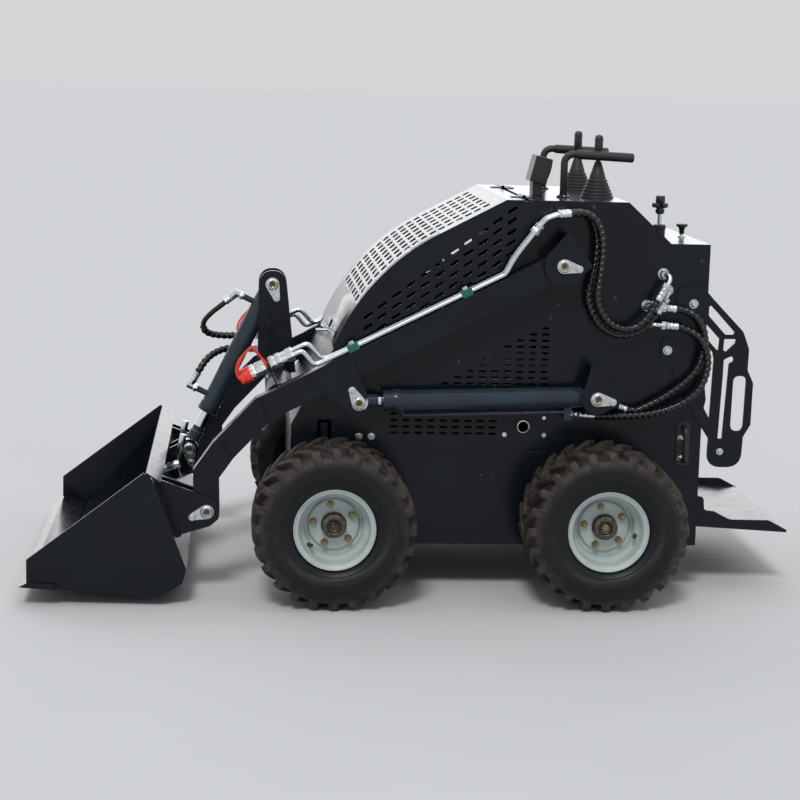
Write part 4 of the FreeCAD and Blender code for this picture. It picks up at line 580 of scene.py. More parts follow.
# Half section of the tyre, columns: distance from the middle, groove radius, lug radius, height share
TREAD_ROWS = ((2.5, 211, 228, 0), (5, 211, 228, 0.02), (6, 211, 228, 0.12), (7, 211, 228, 0.55),
              (8, 211, 228, 0.93), (9.5, 211, 228, 1), (25, 210.8, 227.9, 1), (45, 210.4, 227.6, 1),
              (65, 209.7, 227.1, 1), (85, 208.7, 226.5, 1), (93, 208.2, 226.1, 1), (97, 207.6, 225.4, 1),
              (100, 207, 224, 1), (104, 205.4, 220, 1), (108, 202.6, 212, 1), (111.5, 199, 203, 1),
              (114, 195, 196.5, 1), (116, 189, 190.5, 1), (117.2, 183, 184.5, 1), (117.9, 178, 178, 0))
WALL_ROWS = ((118, 170), (117.9, 163), (117, 157.5), (117.4, 156), (117, 154.5), (115.6, 149),
             (113.4, 143), (110.6, 137), (108, 132.5), (108.4, 130.5), (107.4, 128.6), (103.4, 123),
             (99.4, 119), (96.4, 117), (92, 115.6), (88, 114.6), (84, 104))


def tyre_ring(side, y, groove, top, share, lead):
    """Ring of points round a tyre; the second half's lugs stand half a pitch further on."""
    run = SHOULDER_Y - CENTRE_GROOVE_Y
    spread = 1 + 0.26 * min(max((y - CENTRE_GROOVE_Y) / run, 0), 1)
    ring = []
    for lug in range(LUG_COUNT):
        for offset, height in LUG_ROUND:
            wide = offset * spread if abs(offset) < 25 else offset
            angle = wide / TYRE_RADIUS + math.radians(lead) + 2 * math.pi * lug / LUG_COUNT
            if side > 0:
                angle += math.pi / LUG_COUNT
            radius = groove + (top - groove) * height * share
            ring.append(Vector((radius * math.cos(angle), side * y, radius * math.sin(angle))))
    return ring if side < 0 else ring[-len(LUG_ROUND) // 2:] + ring[:-len(LUG_ROUND) // 2]


def tyre(form):
    """Left tyre about its own axle, with chevron lugs that run out over the shoulders."""
    halves = []
    for side in (-1, 1):
        rings = []
        for y, groove, top, share in TREAD_ROWS:
            lead = (SHOULDER_Y - y) * (INNER_SWEEP if y < SHOULDER_Y else OUTER_SWEEP)
            rings.append(tyre_ring(side, y, groove, top, share, lead))
        for y, radius in WALL_ROWS:
            rings.append(tyre_ring(side, y, radius, radius, 0, -1))
        halves.append(rings)
    skin_over(halves[0][::-1] + halves[1], "tyre_rubber", form, loop=True)


# Closed sections of the rim, from its middle: distance outwards, radius. The barrel is symmetrical
BARREL_HALF = ((33, 86.6), (37, 87.2), (40, 89.4), (46, 97), (49, 99.8), (53, 100.8), (80, 101.6),
               (84, 102.4), (87, 106), (89, 113), (92, 114.4), (95, 114), (96.6, 112.4), (96, 110.6),
               (93, 109.8), (91, 106), (88.6, 100.6), (84, 97.8), (53, 97), (50.6, 95.6), (44, 87.4),
               (40, 84.2), (34, 82.8))
BARREL = BARREL_HALF + tuple((-d, r) for d, r in reversed(BARREL_HALF))
DISC = ((20, 24.6), (20, 66), (19.4, 68.4), (17.6, 70.2), (13, 72.4), (10.6, 74.4), (10, 77),
        (10.6, 80.6), (14, 82.4), (18, 83), (18, 84), (6, 84), (5, 77), (6, 72), (11, 67.6), (14, 64),
        (14, 24.6))
HUB = ((18, 34), (21, 36), (23.6, 36), (24.6, 34.4), (45, 34), (47.4, 32.6), (48, 31), (48, 21),
       (46.6, 19.4), (41, 18.6), (37, 17.8), (36, 16))
SPINDLE_NUT = {"front": IRON, "rear": BRASSY}
WHEEL_BOLTS = 5
WHEEL_BOLT_CIRCLE = 57
NUT_ANGLE = {"front": 100, "rear": 102}
VALVE_ANGLE = {"front": 218, "rear": -14}
VALVE = ((-6, 8), (0, 7.4), (5, 5), (20, 4.2), (20.5, 4.8), (30, 4.8), (31, 3.6))


def spoke_at(degrees):
    """Direction square to the axle at this angle in the side view."""
    angle = math.radians(degrees)
    return Vector((math.cos(angle), 0, math.sin(angle)))


def rim(form, end, segments):
    """Left rim about its own axle, with its disc, hub, wheel nuts and valve."""
    middle = (0, 0, 0)
    for profile in (BARREL, DISC):
        turned(form, middle, OUT, profile, "silver_enamel", segments, loop=True)
    turned(form, middle, OUT, HUB, IRON, 48)
    hex_nut(form, OUT * 35, OUT, 12.5, 7, SPINDLE_NUT[end], stud=3)
    for i in range(WHEEL_BOLTS):
        spot = spoke_at(NUT_ANGLE[end] + 360 / WHEEL_BOLTS * i) * WHEEL_BOLT_CIRCLE
        turned(form, spot + OUT * 19.6, OUT, ((0, 10.6), (1.2, 10.4), (3, 9.4)), BRASSY, 24)
        hex_nut(form, spot + OUT * 21, OUT, 9.2, 9.5, BRASSY, stud=5)
    stem = spoke_at(VALVE_ANGLE[end])
    turned(form, stem * 88 + OUT * 42, OUT - stem * 0.35, VALVE, PLASTIC, 18)


class LOADER_OT_wheels(bpy.types.Operator):
    """Make the lugged tyres and the steel rims with their nuts, hubs and valves."""
    bl_idname = "loader.wheels"
    bl_label = "Wheels"

    def execute(self, context):
        segments = context.scene.loader_size.rim_segments
        for end, x in AXLES:
            for side, sign in SIDES:
                axle = (x, sign * TYRE_MID_Y, AXLE_Z)
                for kind, slot in (("tyre", "tyre_rubber"), ("rim", "rim_paint")):
                    form = Form()
                    if kind == "tyre":
                        tyre(form)
                    else:
                        rim(form, end, segments)
                    form.points = [Vector((p.x + x, p.y * -sign + axle[1], p.z + AXLE_Z))
                                   for p in form.points]
                    where = end + "_" + side
                    form.made("dressed_" + kind + "_" + where, "wheel_" + where,
                              (kind + "_" + where,), axle, 40 if kind == "tyre" else 32)
        return {"FINISHED"}


def guarded_hose(form, route, settings, guard=(0.0, 1.0)):
    """Rubber hose in a spiral guard between two shares of its length, and plain elsewhere."""
    pitch, height = settings.wrap_pitch / MM, settings.wrap_height / MM
    line = evenly(smooth(route), pitch / 11)
    length = sum((b - a).length for a, b in zip(line, line[1:]))

    def radius(distance, angle):
        share = distance / length
        if not guard[0] <= share <= guard[1]:
            return HOSE_RADIUS - 2.2
        wave = math.cos(2 * math.pi * distance / pitch - angle)
        rise = min(max((wave + 0.45) / 0.75, 0.0), 1.0)
        return HOSE_RADIUS - height * 0.55 + height * rise * rise * (3 - 2 * rise)

    swept(form, line, radius, "hose_guard_plastic", 18)


def ferrule(form, start, end, radius=11.5):
    """Crimped sleeve from start to end, with two pressed grooves."""
    start, end = Vector(start), Vector(end)
    length = (end - start).length
    profile = [(0, radius - 1.5), (1.2, radius)]
    for share in (0.32, 0.62):
        groove = length * share
        profile += [(groove - 3, radius), (groove - 1.4, radius - 1), (groove + 1.4, radius - 1),
                    (groove + 3, radius)]
    profile += [(length - 1.2, radius), (length, radius - 1.5)]
    turned(form, start, end - start, profile, ZINC, 24)


# Hose routes in the side view, and in space for the tilt cylinder's
ARM_HOSES = ((-420, ((403, 1092), (440, 1100), (478, 1078), (497, 1030), (498, 970), (490, 900),
                     (488, 850), (504, 812), (530, 784), (566, 770), (600, 776), (628, 800),
                     (648, 833), (661, 857))),
             (-396, ((403, 1092), (436, 1100), (470, 1080), (486, 1030), (484, 970), (472, 905),
                     (464, 860), (480, 812), (506, 774), (545, 752), (590, 752), (628, 770),
                     (652, 794), (666, 818))))
CYLINDER_HOSES = ((-396, ((717, 830), (750, 826), (788, 800), (808, 750), (802, 700), (786, 654),
                          (746, 612), (692, 574), (642, 548), (607.5, 532.6), (564.7, 549.6))),
                  (-408, ((722, 781), (752, 773), (790, 750), (814, 704), (814, 652), (796, 602),
                          (756, 566), (700, 540), (640, 527), (572, 522), (496, 522))))
TILT_HOSES = (((-533.6, 0, 795.8), (-556, 0, 776), (-592, 6, 748), (-619, 20, 716), (-612, 36, 684),
               (-570, 56.3, 672), (-512, 56.3, 674), (-452, 56.3, 676)),
              ((-642.6, 0, 547.4), (-628, 0, 572), (-612, 12, 598), (-588, 32, 620), (-550, 56.3, 634),
               (-505, 56.3, 636), (-452, 56.3, 634)))


class LOADER_OT_hoses(bpy.types.Operator):
    """Make the hydraulic hoses in their spiral guards."""
    bl_idname = "loader.hoses"
    bl_label = "Hoses"

    def execute(self, context):
        sizes = context.scene.loader_size
        form = Form()
        for y, route in ARM_HOSES:
            guarded_hose(form, side_view(route, y), sizes)
        form.mirror()
        piece = form.made("guarded_arm_hoses", None, ("arm_hoses",))
        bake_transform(piece)
        for side, sign in SIDES:
            form = Form()
            for y, route in CYLINDER_HOSES:
                guarded_hose(form, side_view(route, y * -sign), sizes)
            piece = form.made("guarded_cylinder_hoses_" + side, None,
                              ("cylinder_hoses",))
            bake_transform(piece)
        form = Form()
        for route, guard in zip(TILT_HOSES, ((0.42, 1.0), (0.06, 1.0))):
            guarded_hose(form, [Vector(p) for p in route], sizes, guard)
        piece = form.made("guarded_tilt_hoses", None, ("tilt_hoses",))
        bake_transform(piece)
        return {"FINISHED"}


# Pipe of each lane beside the arm, from the nut behind its coupler: y, (distance, rise) points
PIPE_RUNS = ((-420, ((808, 99), (770, 100), (758, 98), (752, 88), (748, 70), (744, 54), (734, 47),
                     (715, 46), (420, 46), (170, 46), (152, 46))),
             (-396, ((808, 109), (752, 109), (738, 108), (730, 98), (724, 78), (718, 56), (706, 47),
                     (690, 46), (420, 46), (170, 46), (152, 46))))
PIPE_UP = ((248, 964), (300, 1032), (318, 1056), (336, 1077), (352, 1083), (370, 1089))
PIPE_RADIUS = 7.5
# Arm hose's end, where its sleeve on the pipe stops
ARM_HOSE_END = (405, 1092)
# Coupler: its distance from the arm's pivot and its lanes' rises. Then, along its own axis, its
# hexagons (place, radius, height), and its neck, ring and cap as (place, radius) points
COUPLER_PLACE = 782
COUPLER_RISES = {-420: 99, -396: 109}
COUPLER_NUTS = ((0, 14.6, 20), (38, 14.8, 14), (57, 14.6, 15), (83, 15.4, 34))
COUPLER_NECK = ((19, 10), (59, 10), (60, 9))
COUPLER_RING = ((116, 12.4), (117, 15), (120, 15.4), (121, 14.4), (129, 14.4), (130, 15.4), (133, 15),
                (134, 11))
DUST_CAP = ((128, 15.4), (131, 16), (134, 16), (135, 14.6), (142, 14.4), (143, 15.4), (146, 15.4),
            (147, 14.2), (160, 13.6), (163, 11), (164, 5))
# Straps of the caps in the side view: the plane y that each hangs in, and its points
STRAPS = {-420: (-436, ((-431, 652), (-437, 664), (-455, 691), (-473, 712), (-488, 697), (-509, 672),
                        (-517, 648), (-514, 629), (-505, 617))),
          -396: (-412, ((-427, 652), (-432, 662), (-452, 681), (-473, 705), (-485, 696), (-500, 675),
                        (-509, 656), (-511, 640), (-508, 630)))}


def pipe_and_coupler(form, y, run):
    """One zinc pipe with its nuts, quick coupler and red cap."""
    route = [arm_point(d, rise, y) for d, rise in run] + side_view(PIPE_UP, y)
    swept(form, evenly(smooth(route), 4), PIPE_RADIUS, ZINC, 18)
    first, second, union = route[-len(PIPE_UP):][:3]
    steep = (second - first).normalized()
    hex_nut(form, union - steep * 24, steep, 13, 15)
    turned(form, union - steep * 9, steep, ((0, 10), (1, 11.4), (4, 11.4), (5, 10)))
    hex_nut(form, union - steep * 3, steep, 12, 9)
    ferrule(form, route[-1], (ARM_HOSE_END[0], y, ARM_HOSE_END[1]), 12.4)
    start = arm_point(COUPLER_PLACE, COUPLER_RISES[y], y)
    along = (arm_point(COUPLER_PLACE + 1, COUPLER_RISES[y], y) - start).normalized()
    for place, radius, height in COUPLER_NUTS:
        hex_nut(form, start + along * place, along, radius, height)
    turned(form, start, along, COUPLER_NECK, ZINC, 24)
    turned(form, start, along, COUPLER_RING, ZINC, 36)
    turned(form, start, along, DUST_CAP, VINYL)
    plane, strap = STRAPS[y]
    swept(form, evenly(smooth(side_view(strap, plane)), 3), 2.9, VINYL, 10)


def pipes_and_couplers(form):
    """Both lanes of pipe on the left arm."""
    for y, run in PIPE_RUNS:
        pipe_and_coupler(form, y, run)


# Elbows from the side plate's bulkheads to the hoses' sleeves: points (x, y, z), and the sleeve's far end
ELBOWS = ((((684, -366, 925), (685, -392, 926), (694, -404, 924), (694, -412, 908), (681, -420, 894)),
           (660, -420, 855)),
          (((699, -366, 878), (699, -382, 878), (696, -392, 874), (691, -396, 866), (685, -396, 853)),
           (665, -396, 816)),
          (((664, -366, 832), (664, -388, 832), (672, -396, 832), (680, -396, 832), (686, -396, 832)),
           (719, -396, 829)),
          (((648, -366, 785), (648, -398, 785), (654, -408, 785), (664, -408, 785), (684, -408, 784)),
           (724, -408, 780)))
BLANK_PORT = (641, 834)


def on_plate(x, z):
    """Point on the left side plate's outer face."""
    return Vector((x, -FRAME_HALF_WIDTH, z))


def bulkhead_elbows(form):
    """Left zinc elbows on the side plate with their nuts and crimped sleeves, and the blanked port."""
    for route, sleeve_end in ELBOWS:
        line = [Vector(p) for p in route]
        swept(form, evenly(smooth(line), 3), 6.6, ZINC, 16)
        foot = on_plate(line[0].x, line[0].z)
        hex_nut(form, foot, OUT, 14, 9, washer=16)
        hex_nut(form, foot + OUT * 12, OUT, 12, 10)
        away = (Vector(sleeve_end) - line[-1]).normalized()
        hex_nut(form, line[-1] - away * 8, away, 12.6, 12)
        ferrule(form, line[-1] + away * 5, sleeve_end, 11.8)
    foot = on_plate(*BLANK_PORT)
    hex_nut(form, foot, OUT, 14, 10, washer=16)
    hex_nut(form, foot + OUT * 12, OUT, 11, 16, stud=2)


# Elbows on the tilt barrel's ports: place and the hose's direction, both in the side view
TILT_ELBOWS = (((-517.7, 808.4), (-0.783, -0.622)), ((-652.8, 529.8), (0.5, 0.866)))
TILT_SQUARE = Vector((-0.8998, 0, 0.4363))


def tilt_port_fittings(form):
    """Elbow nuts of the tilt barrel's ports, and the sleeves of their hoses."""
    for (x, z), (dx, dz) in TILT_ELBOWS:
        elbow, away = Vector((x, 0, z)), Vector((dx, 0, dz))
        hex_nut(form, elbow - TILT_SQUARE * 22, TILT_SQUARE, 13.4, 12)
        turned(form, elbow - TILT_SQUARE * 12, TILT_SQUARE, ((0, 11), (12, 11), (20, 10.6), (22, 8)))
        hex_nut(form, elbow + away * 6, away, 12.6, 13)
        ferrule(form, elbow + away * 18, elbow + away * 44, 11.4)


# Tower's ports for the tilt hoses, in the side view, and the cheek's face that carries them
TOWER_PORTS = ((-452, 676), (-452, 634))
TOWER_FACE_Y = 45


def arm_fittings(form):
    """Tilt hoses' ports on the tower, and the bolts of the left pipe clamps."""
    for x, z in TOWER_PORTS:
        hex_nut(form, (x, TOWER_FACE_Y, z), -OUT, 13, 8)
        ferrule(form, (x - 8, TILT_HOSE_Y, z), (x - 40, TILT_HOSE_Y, z), 11.4)
        turned(form, (x + 8, TILT_HOSE_Y, z), (-1, 0, 0), ((0, 9), (2, 11), (18, 11), (20, 9)), ZINC, 24)
    for place in CLAMP_PLACES:
        foot = arm_point(place, 58, -ARM_MID_Y)
        up = (arm_point(place, 80, -ARM_MID_Y) - foot).normalized()
        hex_nut(form, foot - up * 2, up, 8, 6, washer=11)


def cylinder_sleeves(form):
    """Nuts and sleeves of the left lift cylinder's two hoses, beside its ports."""
    along = Vector((1, 0, -0.05))
    hex_nut(form, (424, -408, 526), along, 12.6, 14)
    turned(form, (436, -408, 525.4), along, ((0, 9), (8, 9)), ZINC, 20)
    hex_nut(form, (442, -408, 525), along, 12, 10)
    ferrule(form, (452, -408, 524.4), (496, -408, 522), 11.6)
    ferrule(form, (564.7, -396, 549.6), (589, -396, 540), 11.4)


class LOADER_OT_hydraulics(bpy.types.Operator):
    """Make the zinc pipes, quick couplers, elbows, clamps' bolts and hose sleeves."""
    bl_idname = "loader.hydraulics"
    bl_label = "Hydraulic fittings"

    def execute(self, context):
        dressed(pipes_and_couplers, "pipes_and_couplers", "lift_arms",
                ("hard_pipes", "quick_couplers"), True)
        dressed(bulkhead_elbows, "bulkhead_elbows", "chassis",
                ("bulkhead_fittings",), True)
        dressed(tilt_port_fittings, "tilt_port_fittings", "tilt_barrel")
        dressed(arm_fittings, "arm_hose_fittings", "lift_arms")
        for side, sign in SIDES:
            form = Form()
            cylinder_sleeves(form)
            form.points = [Vector((p.x, p.y * -sign, p.z)) for p in form.points]
            form.made("cylinder_hose_sleeves_" + side, "lift_barrel_" + side)
        return {"FINISHED"}


# Keepers: body, pin, point that the keeper points at, outer plane
KEEPERS = (("chassis", ARM_PIVOT, (428, 942), 455), ("chassis", LIFT_BASE_PIN, (540, 570), 455),
           ("lift_arms", TILT_TOP_PIN, (-400, 800), 52), ("lift_arms", LIFT_ROD_PIN, (-196, 596), 446),
           ("bucket", BUCKET_PIN, (-632, 230), 449), ("bucket", TILT_ROD_PIN, (-648, 304), 50))
KEEPER_LENGTH = 42


def keeper_details(form, pin, towards, y):
    """Pin end with its brassy hollow, and the bolt of one keeper on the left side."""
    spot = Vector((pin[0], -y, pin[1]))
    turned(form, spot, OUT, ((-1, 17.4), (3.4, 17.4), (6.2, 15.2), (7, 13.2), (6.6, 11.4), (5.2, 11)),
           ZINC, 40)
    turned(form, spot, OUT, ((3, 11.4), (6.9, 11.3), (7.2, 10), (6.6, 7.6), (5.4, 6)), BRASSY)
    turned(form, spot, OUT, ((5, 6.4), (6.3, 6.2), (6.3, 5)), IRON, 20)
    way = (Vector((towards[0], -y, towards[1])) - spot).normalized()
    bolt = spot + way * KEEPER_LENGTH
    turned(form, bolt, OUT, ((0, 10.6), (5.6, 10.6), (6.2, 10)), ZINC, 28)
    hex_nut(form, bolt + OUT * 6, OUT, 8.4, 5)


# Fasteners on the side plates: x, z, head radius, kind
SIDE_BOLTS = ((246.6, 458.7, 8, "nut"), (360.4, 457.8, 8, "nut"), (358.4, 508, 6.5, "nut"),
              (367, 794, 5, "dot"), (110, 665, 5, "dot"), (-167, 448, 8, "nut"), (-132, 448, 8, "nut"),
              (-110, 471, 3.4, "dot"), (393, 443, 3.4, "dot"), (171, 432, 3.4, "dot"),
              (186, 338, 4, "dot"), (220, 338, 4, "dot"),
              (387, 833, 5, "dot"), (478, 1108, 6, "dot"), (793, 962, 6, "dot"), (549, 852, 6, "dot"))
# Zinc bolts on the guard plates and the grab handle's base: x, z, plane, head radius
FACE_BOLTS = ((774, 842, 372, 10), (705, 708, 372, 10), (871, 417, 372, 7), (756, 455, 369, 6),
              (759, 397, 369, 6))
# Exhaust outlet in the side plate, and its ring's closed section
EXHAUST_PLACE = (300, 482)
EXHAUST_RING = ((-1, 14.4), (6, 14.6), (8, 15.8), (7.8, 17.6), (6, 19), (-1, 19.2))
GUARD_SHEET = 8
# Guard plate and its openings: corners x, z and their radius
GUARD = ((725, 892, 46), (725, 832, 38), (836, 703, 8), (840, 684, 6), (836, 512, 2), (818, 543, 8),
         (823, 568, 10), (815, 622, 10), (752, 700, 14), (732, 745, 22), (688, 745, 22), (684, 690, 20),
         (702, 671, 12), (719, 658, 10), (752, 583, 10), (812, 489, 6), (836, 454, 6), (834, 371, 52),
         (934, 371, 50), (937, 460, 8), (957, 496, 10), (958, 617, 10), (940, 654, 12), (941, 714, 34),
         (922, 764, 40), (888, 798, 20), (829, 858, 20), (798, 892, 30))
GUARD_OPENINGS = (((825, 838, 4), (897, 762, 5), (893, 756, 4), (869, 756, 6), (819, 809, 6), (819, 835, 3)),
                  ((806, 793, 5), (854, 742, 6), (852, 712, 5), (846, 712, 4), (806, 755, 6)),
                  ((867, 743, 4), (902, 743, 4), (900, 732, 4), (873, 706, 5), (866, 712, 3)),
                  ((863, 455, 3), (876, 455, 3), (884, 648, 3), (885, 672, 6), (899, 682, 7), (893, 695, 7),
                   (869, 684, 9), (869, 646, 3)),
                  ((900, 637, 18), (938, 637, 18), (935, 478, 18), (898, 478, 18)))
# Weld beads on the left of each body: plane y, then start and end in the side view
BEADS = {"chassis": (-364, (((-90, 420), (-70, 408)), ((-70, 408), (345, 406)), ((345, 406), (372, 424)))),
         "lift_arms": (-440, (((-456, 567), (-419, 507)), ((-200, 682), (-170, 631)),
                              ((-326, 629), (-262, 582)), ((-555, 443), (-526, 398)))),
         "bucket": (-548, (((-741, 340), (-993, 50)),))}


def plate_fasteners(form):
    """Bolts, screws and exhaust ring on the left side plate, guard plate and grab handle."""
    turned(form, on_plate(*EXHAUST_PLACE), OUT, EXHAUST_RING, ZINC, 40, loop=True)
    for x, z, radius, kind in SIDE_BOLTS:
        if kind == "nut":
            hex_nut(form, on_plate(x, z), OUT, radius, 6, washer=radius * 1.3)
        else:
            turned(form, on_plate(x, z), OUT, ((-1, radius), (0.8, radius), (1.8, radius - 1.4)),
                   PLASTIC, 20)
    for x, z, y, radius in FACE_BOLTS:
        spot = Vector((x, -y, z))
        turned(form, spot, OUT, ((-0.5, radius + 3), (1.4, radius + 3)), ZINC, 28)
        turned(form, spot + OUT, OUT, ((0, radius), (2.5, radius), (5.5, radius * 0.8),
                                       (6.6, radius * 0.45), (4.5, radius * 0.4)), ZINC, 28)


def guard_plate(form):
    """Left guard plate with its openings."""
    sheet(form, [rounded(hole) for hole in (GUARD,) + GUARD_OPENINGS], -FRAME_HALF_WIDTH,
          GUARD_SHEET, PAINT)


class LOADER_OT_fasteners(bpy.types.Operator):
    """Make the pin ends, bolts, screws, weld beads and pierced guard plates."""
    bl_idname = "loader.fasteners"
    bl_label = "Fasteners and welds"

    def execute(self, context):
        for body, (plane, beads) in BEADS.items():
            form = Form()
            for rides, pin, towards, y in KEEPERS:
                if rides == body:
                    keeper_details(form, pin, towards, y)
            for ends in beads:
                swept(form, evenly(side_view(ends, plane), 2),
                      lambda d, a: 1.7 + 0.25 * math.sin(d * 1.1), PAINT, 8)
            if body == "chassis":
                plate_fasteners(form)
            form.mirror()
            form.made("fasteners_" + body, body)
        plate = dressed(guard_plate, "pierced_guard_plates", "chassis",
                        ("guard_plates",), True)
        round_edges(plate, context.scene.loader_size.edge_round)
        return {"FINISHED"}


# Cylinders: name, plane y, far pin, rod pin, reach of the shank, the collar and the barrel's end from
# the rod pin, barrel's radius
LIFT_CYLINDER = (LIFT_BASE_PIN, LIFT_ROD_PIN, 55, 68, 96, 30)
CYLINDERS = (("lift_{}_left", -ARM_MID_Y) + LIFT_CYLINDER, ("lift_{}_right", ARM_MID_Y) + LIFT_CYLINDER,
             ("tilt_{}", 0, TILT_TOP_PIN, TILT_ROD_PIN, 68, 118, 120, 28))


class LOADER_OT_cylinders(bpy.types.Operator):
    """Make the painted rod shanks and the gland collars of the cylinders."""
    bl_idname = "loader.cylinders"
    bl_label = "Cylinders"

    def execute(self, context):
        for name, y, far, pin, shank, collar, end, radius in CYLINDERS:
            rod, barrel = name.format("rod"), name.format("barrel")
            eye = Vector((pin[0], y, pin[1]))
            axis = (Vector((far[0], y, far[1])) - eye).normalized()
            neck, coated = ROD_RADIUS + 3.8, ROD_RADIUS + 1.4
            form = Form()
            turned(form, eye, axis, ((20, neck), (52, neck), (54, coated), (shank - 1, coated),
                                     (shank, ROD_RADIUS)), ENAMEL, 36)
            form.made("painted_shank_" + rod, rod)
            form = Form()
            turned(form, eye, axis, ((collar, ROD_RADIUS + 0.6), (collar, radius - 1.5),
                                     (collar + 1.5, radius), (end + 6, radius + 0.15),
                                     (end + 6.4, radius - 1.2), (end + 7.4, radius - 1.2)), ENAMEL, 48)
            form.made("gland_collar_" + barrel, barrel)
        return {"FINISHED"}


# Grip bar of a handle: height of its axis at the handle's post, its fall for each millimetre backwards,
# and where it starts and ends
GRIP_Z, GRIP_FALL = 1249, 0.0408
GRIP_RUN = (452, 500, 550, 600, 612)
# Turned parts on their own axes: (distance, radius)
POST_FOOT = ((-0.5, 20), (3, 20), (4, 19), (5, 14), (9, 12.4))
GRIP_END = ((0, 13.4), (3, 13), (6, 10), (7, 5))
LEVER_GRIP = ((-46, 8), (-40, 9.4), (-26, 10.4), (-12, 12.2), (-4, 12.4), (2, 10.6), (5, 7), (6.4, 3))
FILLER_NECK = ((0, 18), (12, 18), (14, 20), (24, 20), (27, 17), (28, 9))
KNOB_BODY = ((58, 8), (62, 13), (70, 14), (74, 11), (88, 11), (94, 14), (110, 14), (113, 12))
KNOB_LOBE = ((77, 5), (80, 8), (88, 8), (91, 5))
TEE_FOOT = ((0, 11), (3, 11), (4, 6), (10, 5))
TEE_KNOB = ((9, 6), (13, 8), (23, 8), (29, 11), (33, 17), (38, 17), (39, 15))
BEZEL = ((0, 30), (3, 30), (4.4, 29), (4.4, 27), (2, 26))
DIAL_CARD = ((0, 26), (1.6, 26), (1.7, 25.8))


def handle_grips(form):
    """Feet, grips and bolts of the two handles, and the levers' grips."""
    for y in (-HANDLE_Y, HANDLE_Y):
        turned(form, (HANDLE_X, y, DECK_Z), UP, POST_FOOT, PAINT)
        for turn in range(3):
            angle = math.radians(30 + 120 * turn)
            hex_nut(form, (HANDLE_X + 16 * math.cos(angle), y + 16 * math.sin(angle), DECK_Z + 3),
                    UP, 3.6, 3)
        line = [Vector((x, y, GRIP_Z - (x - HANDLE_X) * GRIP_FALL)) for x in GRIP_RUN]
        swept(form, evenly(line, 4), lambda d, a: 13.4 + 0.5 * math.cos(d * 2 * math.pi / 8),
              NITRILE, 24)
        turned(form, line[-1] - Vector((1, 0, 0)), (1, 0, -GRIP_FALL), GRIP_END, NITRILE, 24)
    for y in (-LEVER_Y, LEVER_Y):
        turned(form, (LEVER_X, y, LEVER_TOP_Z), UP, LEVER_GRIP, PLASTIC, 28)


def knob_details(form):
    """Filler's neck with its star knob on a stem, and the T knob."""
    hub = Vector((KNOB_X, 0, SHELF_Z))
    turned(form, hub, UP, FILLER_NECK, PLASTIC, 36)
    turned(form, hub, UP, ((20, 6), (60, 6)), ZINC, 20)
    turned(form, hub, UP, KNOB_BODY, PLASTIC)
    for i in range(5):
        angle = math.radians(72 * i + 10)
        lobe = hub + Vector((math.cos(angle) * 17, math.sin(angle) * 17, 0))
        turned(form, lobe, UP, KNOB_LOBE, PLASTIC, 20)
    turned(form, TEE_PLACE, UP, TEE_FOOT, ZINC, 24)
    turned(form, TEE_PLACE, UP, TEE_KNOB, PLASTIC, 28)


def gauge_dial(form):
    """Bezel, white card and plain marks of the gauge, on its leaning box."""
    lean = Matrix.Rotation(math.radians(GAUGE_LEAN), 3, "Y")
    middle = Vector(GAUGE_PLACE) + lean @ Vector((25.4, 0, 6))
    axis = lean @ Vector((1, 0, 0))
    turned(form, middle, axis, BEZEL, PLASTIC, 48)
    turned(form, middle, axis, DIAL_CARD, "dial_white", 48)
    for i in range(11):
        angle = math.radians(-30 + 24 * i)
        spoke = Vector((0, math.cos(angle), math.sin(angle)))
        side = Vector((0, -math.sin(angle), math.cos(angle)))
        mark = [[middle + lean @ (Vector((d, 0, 0)) + spoke * r + side * w)
                 for r, w in ((19, -0.7), (24, -0.7), (24, 0.7), (19, 0.7))] for d in (1.6, 2.1)]
        skin_over(mark, PLASTIC, form)


class LOADER_OT_controls(bpy.types.Operator):
    """Make the handles' and levers' grips, the knobs' details and the gauge's dial."""
    bl_idname = "loader.controls"
    bl_label = "Controls"

    def execute(self, context):
        dressed(handle_grips, "handle_grips", "chassis")
        dressed(knob_details, "knobs_in_detail", "chassis", ("filler_knobs",))
        dressed(gauge_dial, "gauge_dial", "chassis")
        return {"FINISHED"}


class LOADER_OT_stage(bpy.types.Operator):
    """Make the pale floor, the studio light and the camera at the photograph's view."""
    bl_idname = "loader.stage"
    bl_label = "Stage"

    def execute(self, context):
        make_floor()
        make_world(context.scene)
        make_lamps()
        make_camera(context.scene)
        context.scene.view_settings.view_transform = "Standard"
        return {"FINISHED"}


def make_floor():
    """Pale floor that runs to the horizon."""
    reach = 120.0
    mesh = bpy.data.meshes.new("studio_floor")
    mesh.from_pydata([(-reach, -reach, 0), (reach, -reach, 0), (reach, reach, 0), (-reach, reach, 0)],
                     [], [(0, 1, 2, 3)])
    floor = bpy.data.objects.new("studio_floor", mesh)
    bpy.context.scene.collection.objects.link(floor)
    tree, shader, spot = new_material("pale_floor", Specular_IOR_Level=0.0, Roughness=1.0)
    cloud = speckle(tree, spot, 0.6, 0.3, 0.7)
    tint(tree, shader, cloud, linear("#d2d3d4"), linear("#d4d5d6"))
    mesh.materials.append(finishes["pale_floor"])


